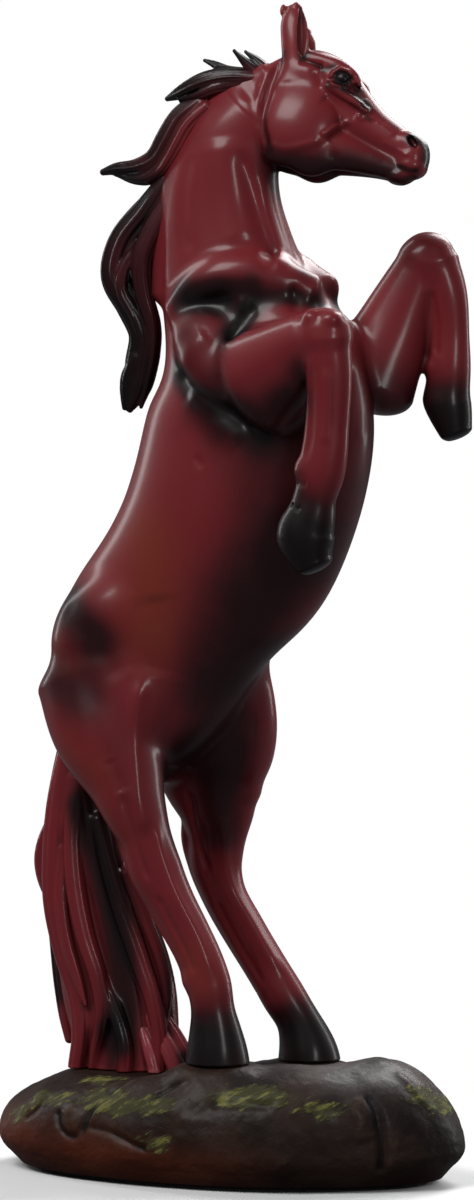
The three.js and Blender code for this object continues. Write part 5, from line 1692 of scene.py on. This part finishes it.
moss = sum(patch(rock_v, middle, reach) for middle, reach in [
    # the front, from the tail's side to the right end
    ((-51, -21, 15), (5, 5, 3)), ((-44.5, -21, 20), (3, 3, 2.6)), ((-40, -24, 20), (7, 4, 2.4)),
    ((-28, -18, 25), (9, 4, 2)), ((-25, -27, 21.5), (6, 5, 3.4)), ((-17, -30, 20), (8, 5, 3)),
    ((-7, -31, 21.5), (5, 4, 3)), ((-7, -35, 12), (5, 3, 3)), ((12, -29, 23.5), (9, 5, 3)),
    ((20, -26, 24.5), (8, 6, 3)), ((34, -24, 21), (7, 5, 3)),
    # the right end and the back
    ((55, -8, 24), (5, 6, 3)), ((58, 0, 21), (3, 9, 3)), ((40, 20, 21), (10, 8, 3)),
    ((20, 28, 20), (10, 5, 4)), ((-10, 28, 20), (14, 6, 4)), ((-48, 16, 18), (8, 8, 4)),
])
warm = sum(strength * patch(rock_v, middle, reach) for strength, middle, reach in [
    (1, (-52, -22, 8), (16, 16, 8)), (0.8, (-24, -32, 7), (16, 10, 6)),
    (0.5, (0, -34, 6), (20, 8, 5)), (0.6, (-58, 8, 9), (10, 18, 7)),
])
# painted highlight: a pale grey reflection painted on the hump and beside it
sheen = sum(strength * patch(rock_v, middle, reach) for strength, middle, reach in [
    (1, (36, -12, 28), (9, 9, 5)), (0.3, (24, -6, 29), (9, 8, 4)), (0.4, (46, -8, 27), (6, 8, 5)),
])
rock_mesh = mesh_of("rock_casting", rock_v, rock_tris, rock_n, 0, moss=moss, warm=warm, sheen=sheen,
                    raised=np.clip(stands_out / 0.5, -1, 1) * 0.5 + 0.5)


def rock_paint():
    """Dark brown stone paint, red-brown low down, moss green and grey brushed over what stands out, and a
    pale grey highlight painted on the hump.
    """
    shader = Finish("rock_paint", Coat_Weight=0.06, Coat_Roughness=0.25, Specular_IOR_Level=0.14)
    cloud = shader.noise(16, detail=3)
    speck = shader.noise(1.7, detail=4, rough=0.65)
    fleck = shader.noise(2.2, detail=4, rough=0.7, stretch=(3.2, 1, 0.8), turn=(0, -0.5, 0.3))
    raised = shader.attribute("raised")
    color = shader.mix(srgb(22, 13, 9), srgb(44, 29, 22), cloud.ramp(0.35, 0.65))
    color = shader.mix(color, srgb(92, 40, 22), shader.attribute("warm") * (cloud * 0.6 + 0.6))
    color = shader.mix(color, srgb(16, 11, 12), (0.5 - raised).ramp(0.02, 0.4) * 0.85)
    # the painted highlight on the hump
    highlight_share = shader.attribute("sheen") * (speck * 0.8 + cloud * 0.4)
    color = shader.mix(color, srgb(136, 133, 133), highlight_share * 0.6)
    brushed = (raised + speck * 0.6 - 0.8).ramp(0.12, 0.4)
    color = shader.mix(color, srgb(96, 70, 54), brushed * 0.25)
    green = (shader.attribute("moss") * 0.75 + (fleck - 0.5) * 1.5 + (raised - 0.5) * 0.35).ramp(0.3, 0.62)
    green = green * shader.attribute("moss").ramp(0.06, 0.4)
    color = shader.mix(color, srgb(62, 62, 36), green * 0.8)
    color = shader.mix(color, srgb(130, 127, 64), (green * (fleck - 0.45)).ramp(0.04, 0.2) * 0.6)
    shader.feed(shader.surface, "Base Color", color)
    shader.feed(shader.surface, "Roughness", speck * 0.2 + green * 0.25 + 0.42)
    shader.bump(speck * 0.6 + shader.noise(0.6, detail=2) * 0.25 + green * fleck, 0.25)
    return shader.material


rock_mesh.materials.append(rock_paint())
rock = placed("rock_casting", rock_mesh)
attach(rock, "root")
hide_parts("rock_base")


# The felt pad.
# Pressed black wool felt, glued under the rock so that it doesn't scratch the table.
def felt_cloth():
    """Matt black cloth with short fibres that lie mostly one way, a little matted."""
    shader = Finish("black_felt", Roughness=0.95, Sheen_Weight=0.4, Sheen_Roughness=0.5)
    fibres = shader.noise(0.5, detail=4, rough=0.7, stretch=(3, 1, 1))
    matted = shader.noise(2.2, detail=3)
    color = shader.mix(srgb(22, 22, 21), srgb(48, 47, 45), (fibres * 0.7 + matted * 0.3).ramp(0.35, 0.68))
    shader.feed(shader.surface, "Base Color", color)
    shader.bump(fibres, 0.12)
    return shader.material


felt_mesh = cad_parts["felt_pad"].data
felt_mesh.materials.clear()
felt_mesh.materials.append(felt_cloth())


# The steel inside.
# Two armature wires run from the rock through the hind legs, and five pins cross the glue lines, all
# cut from drawn steel wire and hidden in the resin.
def drawn_steel():
    """Bright steel with fine streaks along the wire and a little tarnish."""
    shader = Finish("drawn_steel", Metallic=1.0, Anisotropic=0.3)
    streak = shader.noise(0.8, detail=3, stretch=(1, 1, 9))
    tarnish = shader.noise(6, detail=2)
    shader.feed(shader.surface, "Base Color", shader.mix(srgb(148, 150, 153), srgb(186, 187, 190), streak))
    shader.feed(shader.surface, "Roughness", tarnish * 0.16 + streak * 0.06 + 0.24)
    return shader.material


steel = drawn_steel()
for node in ["right_leg_wire", "left_leg_wire", "neck_pin", "head_pin", "right_foreleg_pin",
             "left_foreleg_pin", "tail_pin"]:
    steel_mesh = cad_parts[node].data
    steel_mesh.materials.clear()
    steel_mesh.materials.append(steel)


# The floor and the room.
# White paper under the rock, with the soft shadow round its foot. Further out than the shadow the
# paper is held at an even white, and in the lacquer it is reflected as dark as in a studio with
# black flags. The room is dim and slightly blue, and plain white where the camera looks at it.
FLOOR_REACH = 3.0
SHADOW_REACH, WHITE_REACH = 0.06, 0.16
floor_mesh = bpy.data.meshes.new("floor")
floor_mesh.from_pydata([(-FLOOR_REACH, -FLOOR_REACH, 0), (FLOOR_REACH, -FLOOR_REACH, 0),
                        (FLOOR_REACH, FLOOR_REACH, 0), (-FLOOR_REACH, FLOOR_REACH, 0)], [], [(0, 1, 2, 3)])
paper = bpy.data.materials.new("white_paper")
shader = Shader(paper)
shader.tree.nodes.clear()
place = shader.node("TexCoord").outputs["Object"]
apart = Value(shader, shader.node("VectorMath", {"operation": "LENGTH"}, {0: place}).outputs["Value"])
sheet = shader.node("BsdfDiffuse", None, {"Color": (0.8, 0.8, 0.8, 1)}).outputs[0]
flag = shader.node("BsdfDiffuse", None, {"Color": (0.12, 0.12, 0.13, 1)}).outputs[0]
glow = shader.node("Emission", None, {"Color": (1, 1, 1, 1), "Strength": 1.0}).outputs[0]
outwards = apart.ramp(SHADOW_REACH, WHITE_REACH)
near_far = shader.node("MixShader", None, {"Fac": outwards, 1: sheet, 2: glow}).outputs[0]
by_camera = shader.node("LightPath").outputs["Is Camera Ray"]
by_ray = shader.node("MixShader", None, {"Fac": by_camera, 1: flag, 2: near_far}).outputs[0]
shader.node("OutputMaterial", None, {"Surface": by_ray})
floor_mesh.materials.append(paper)
floor = placed("floor", floor_mesh)

room = bpy.data.worlds.new("studio")
bpy.context.scene.world = room
shader = Shader(room)
shader.tree.nodes.clear()
dim = shader.node("Background", None, {"Color": (0.9, 0.93, 1.0, 1), "Strength": 0.13}).outputs[0]
white = shader.node("Background", None, {"Color": (1, 1, 1, 1), "Strength": 1.0}).outputs[0]
by_camera = shader.node("LightPath").outputs["Is Camera Ray"]
by_ray = shader.node("MixShader", None, {"Fac": by_camera, 1: dim, 2: white}).outputs[0]
shader.node("OutputWorld", None, {"Surface": by_ray})
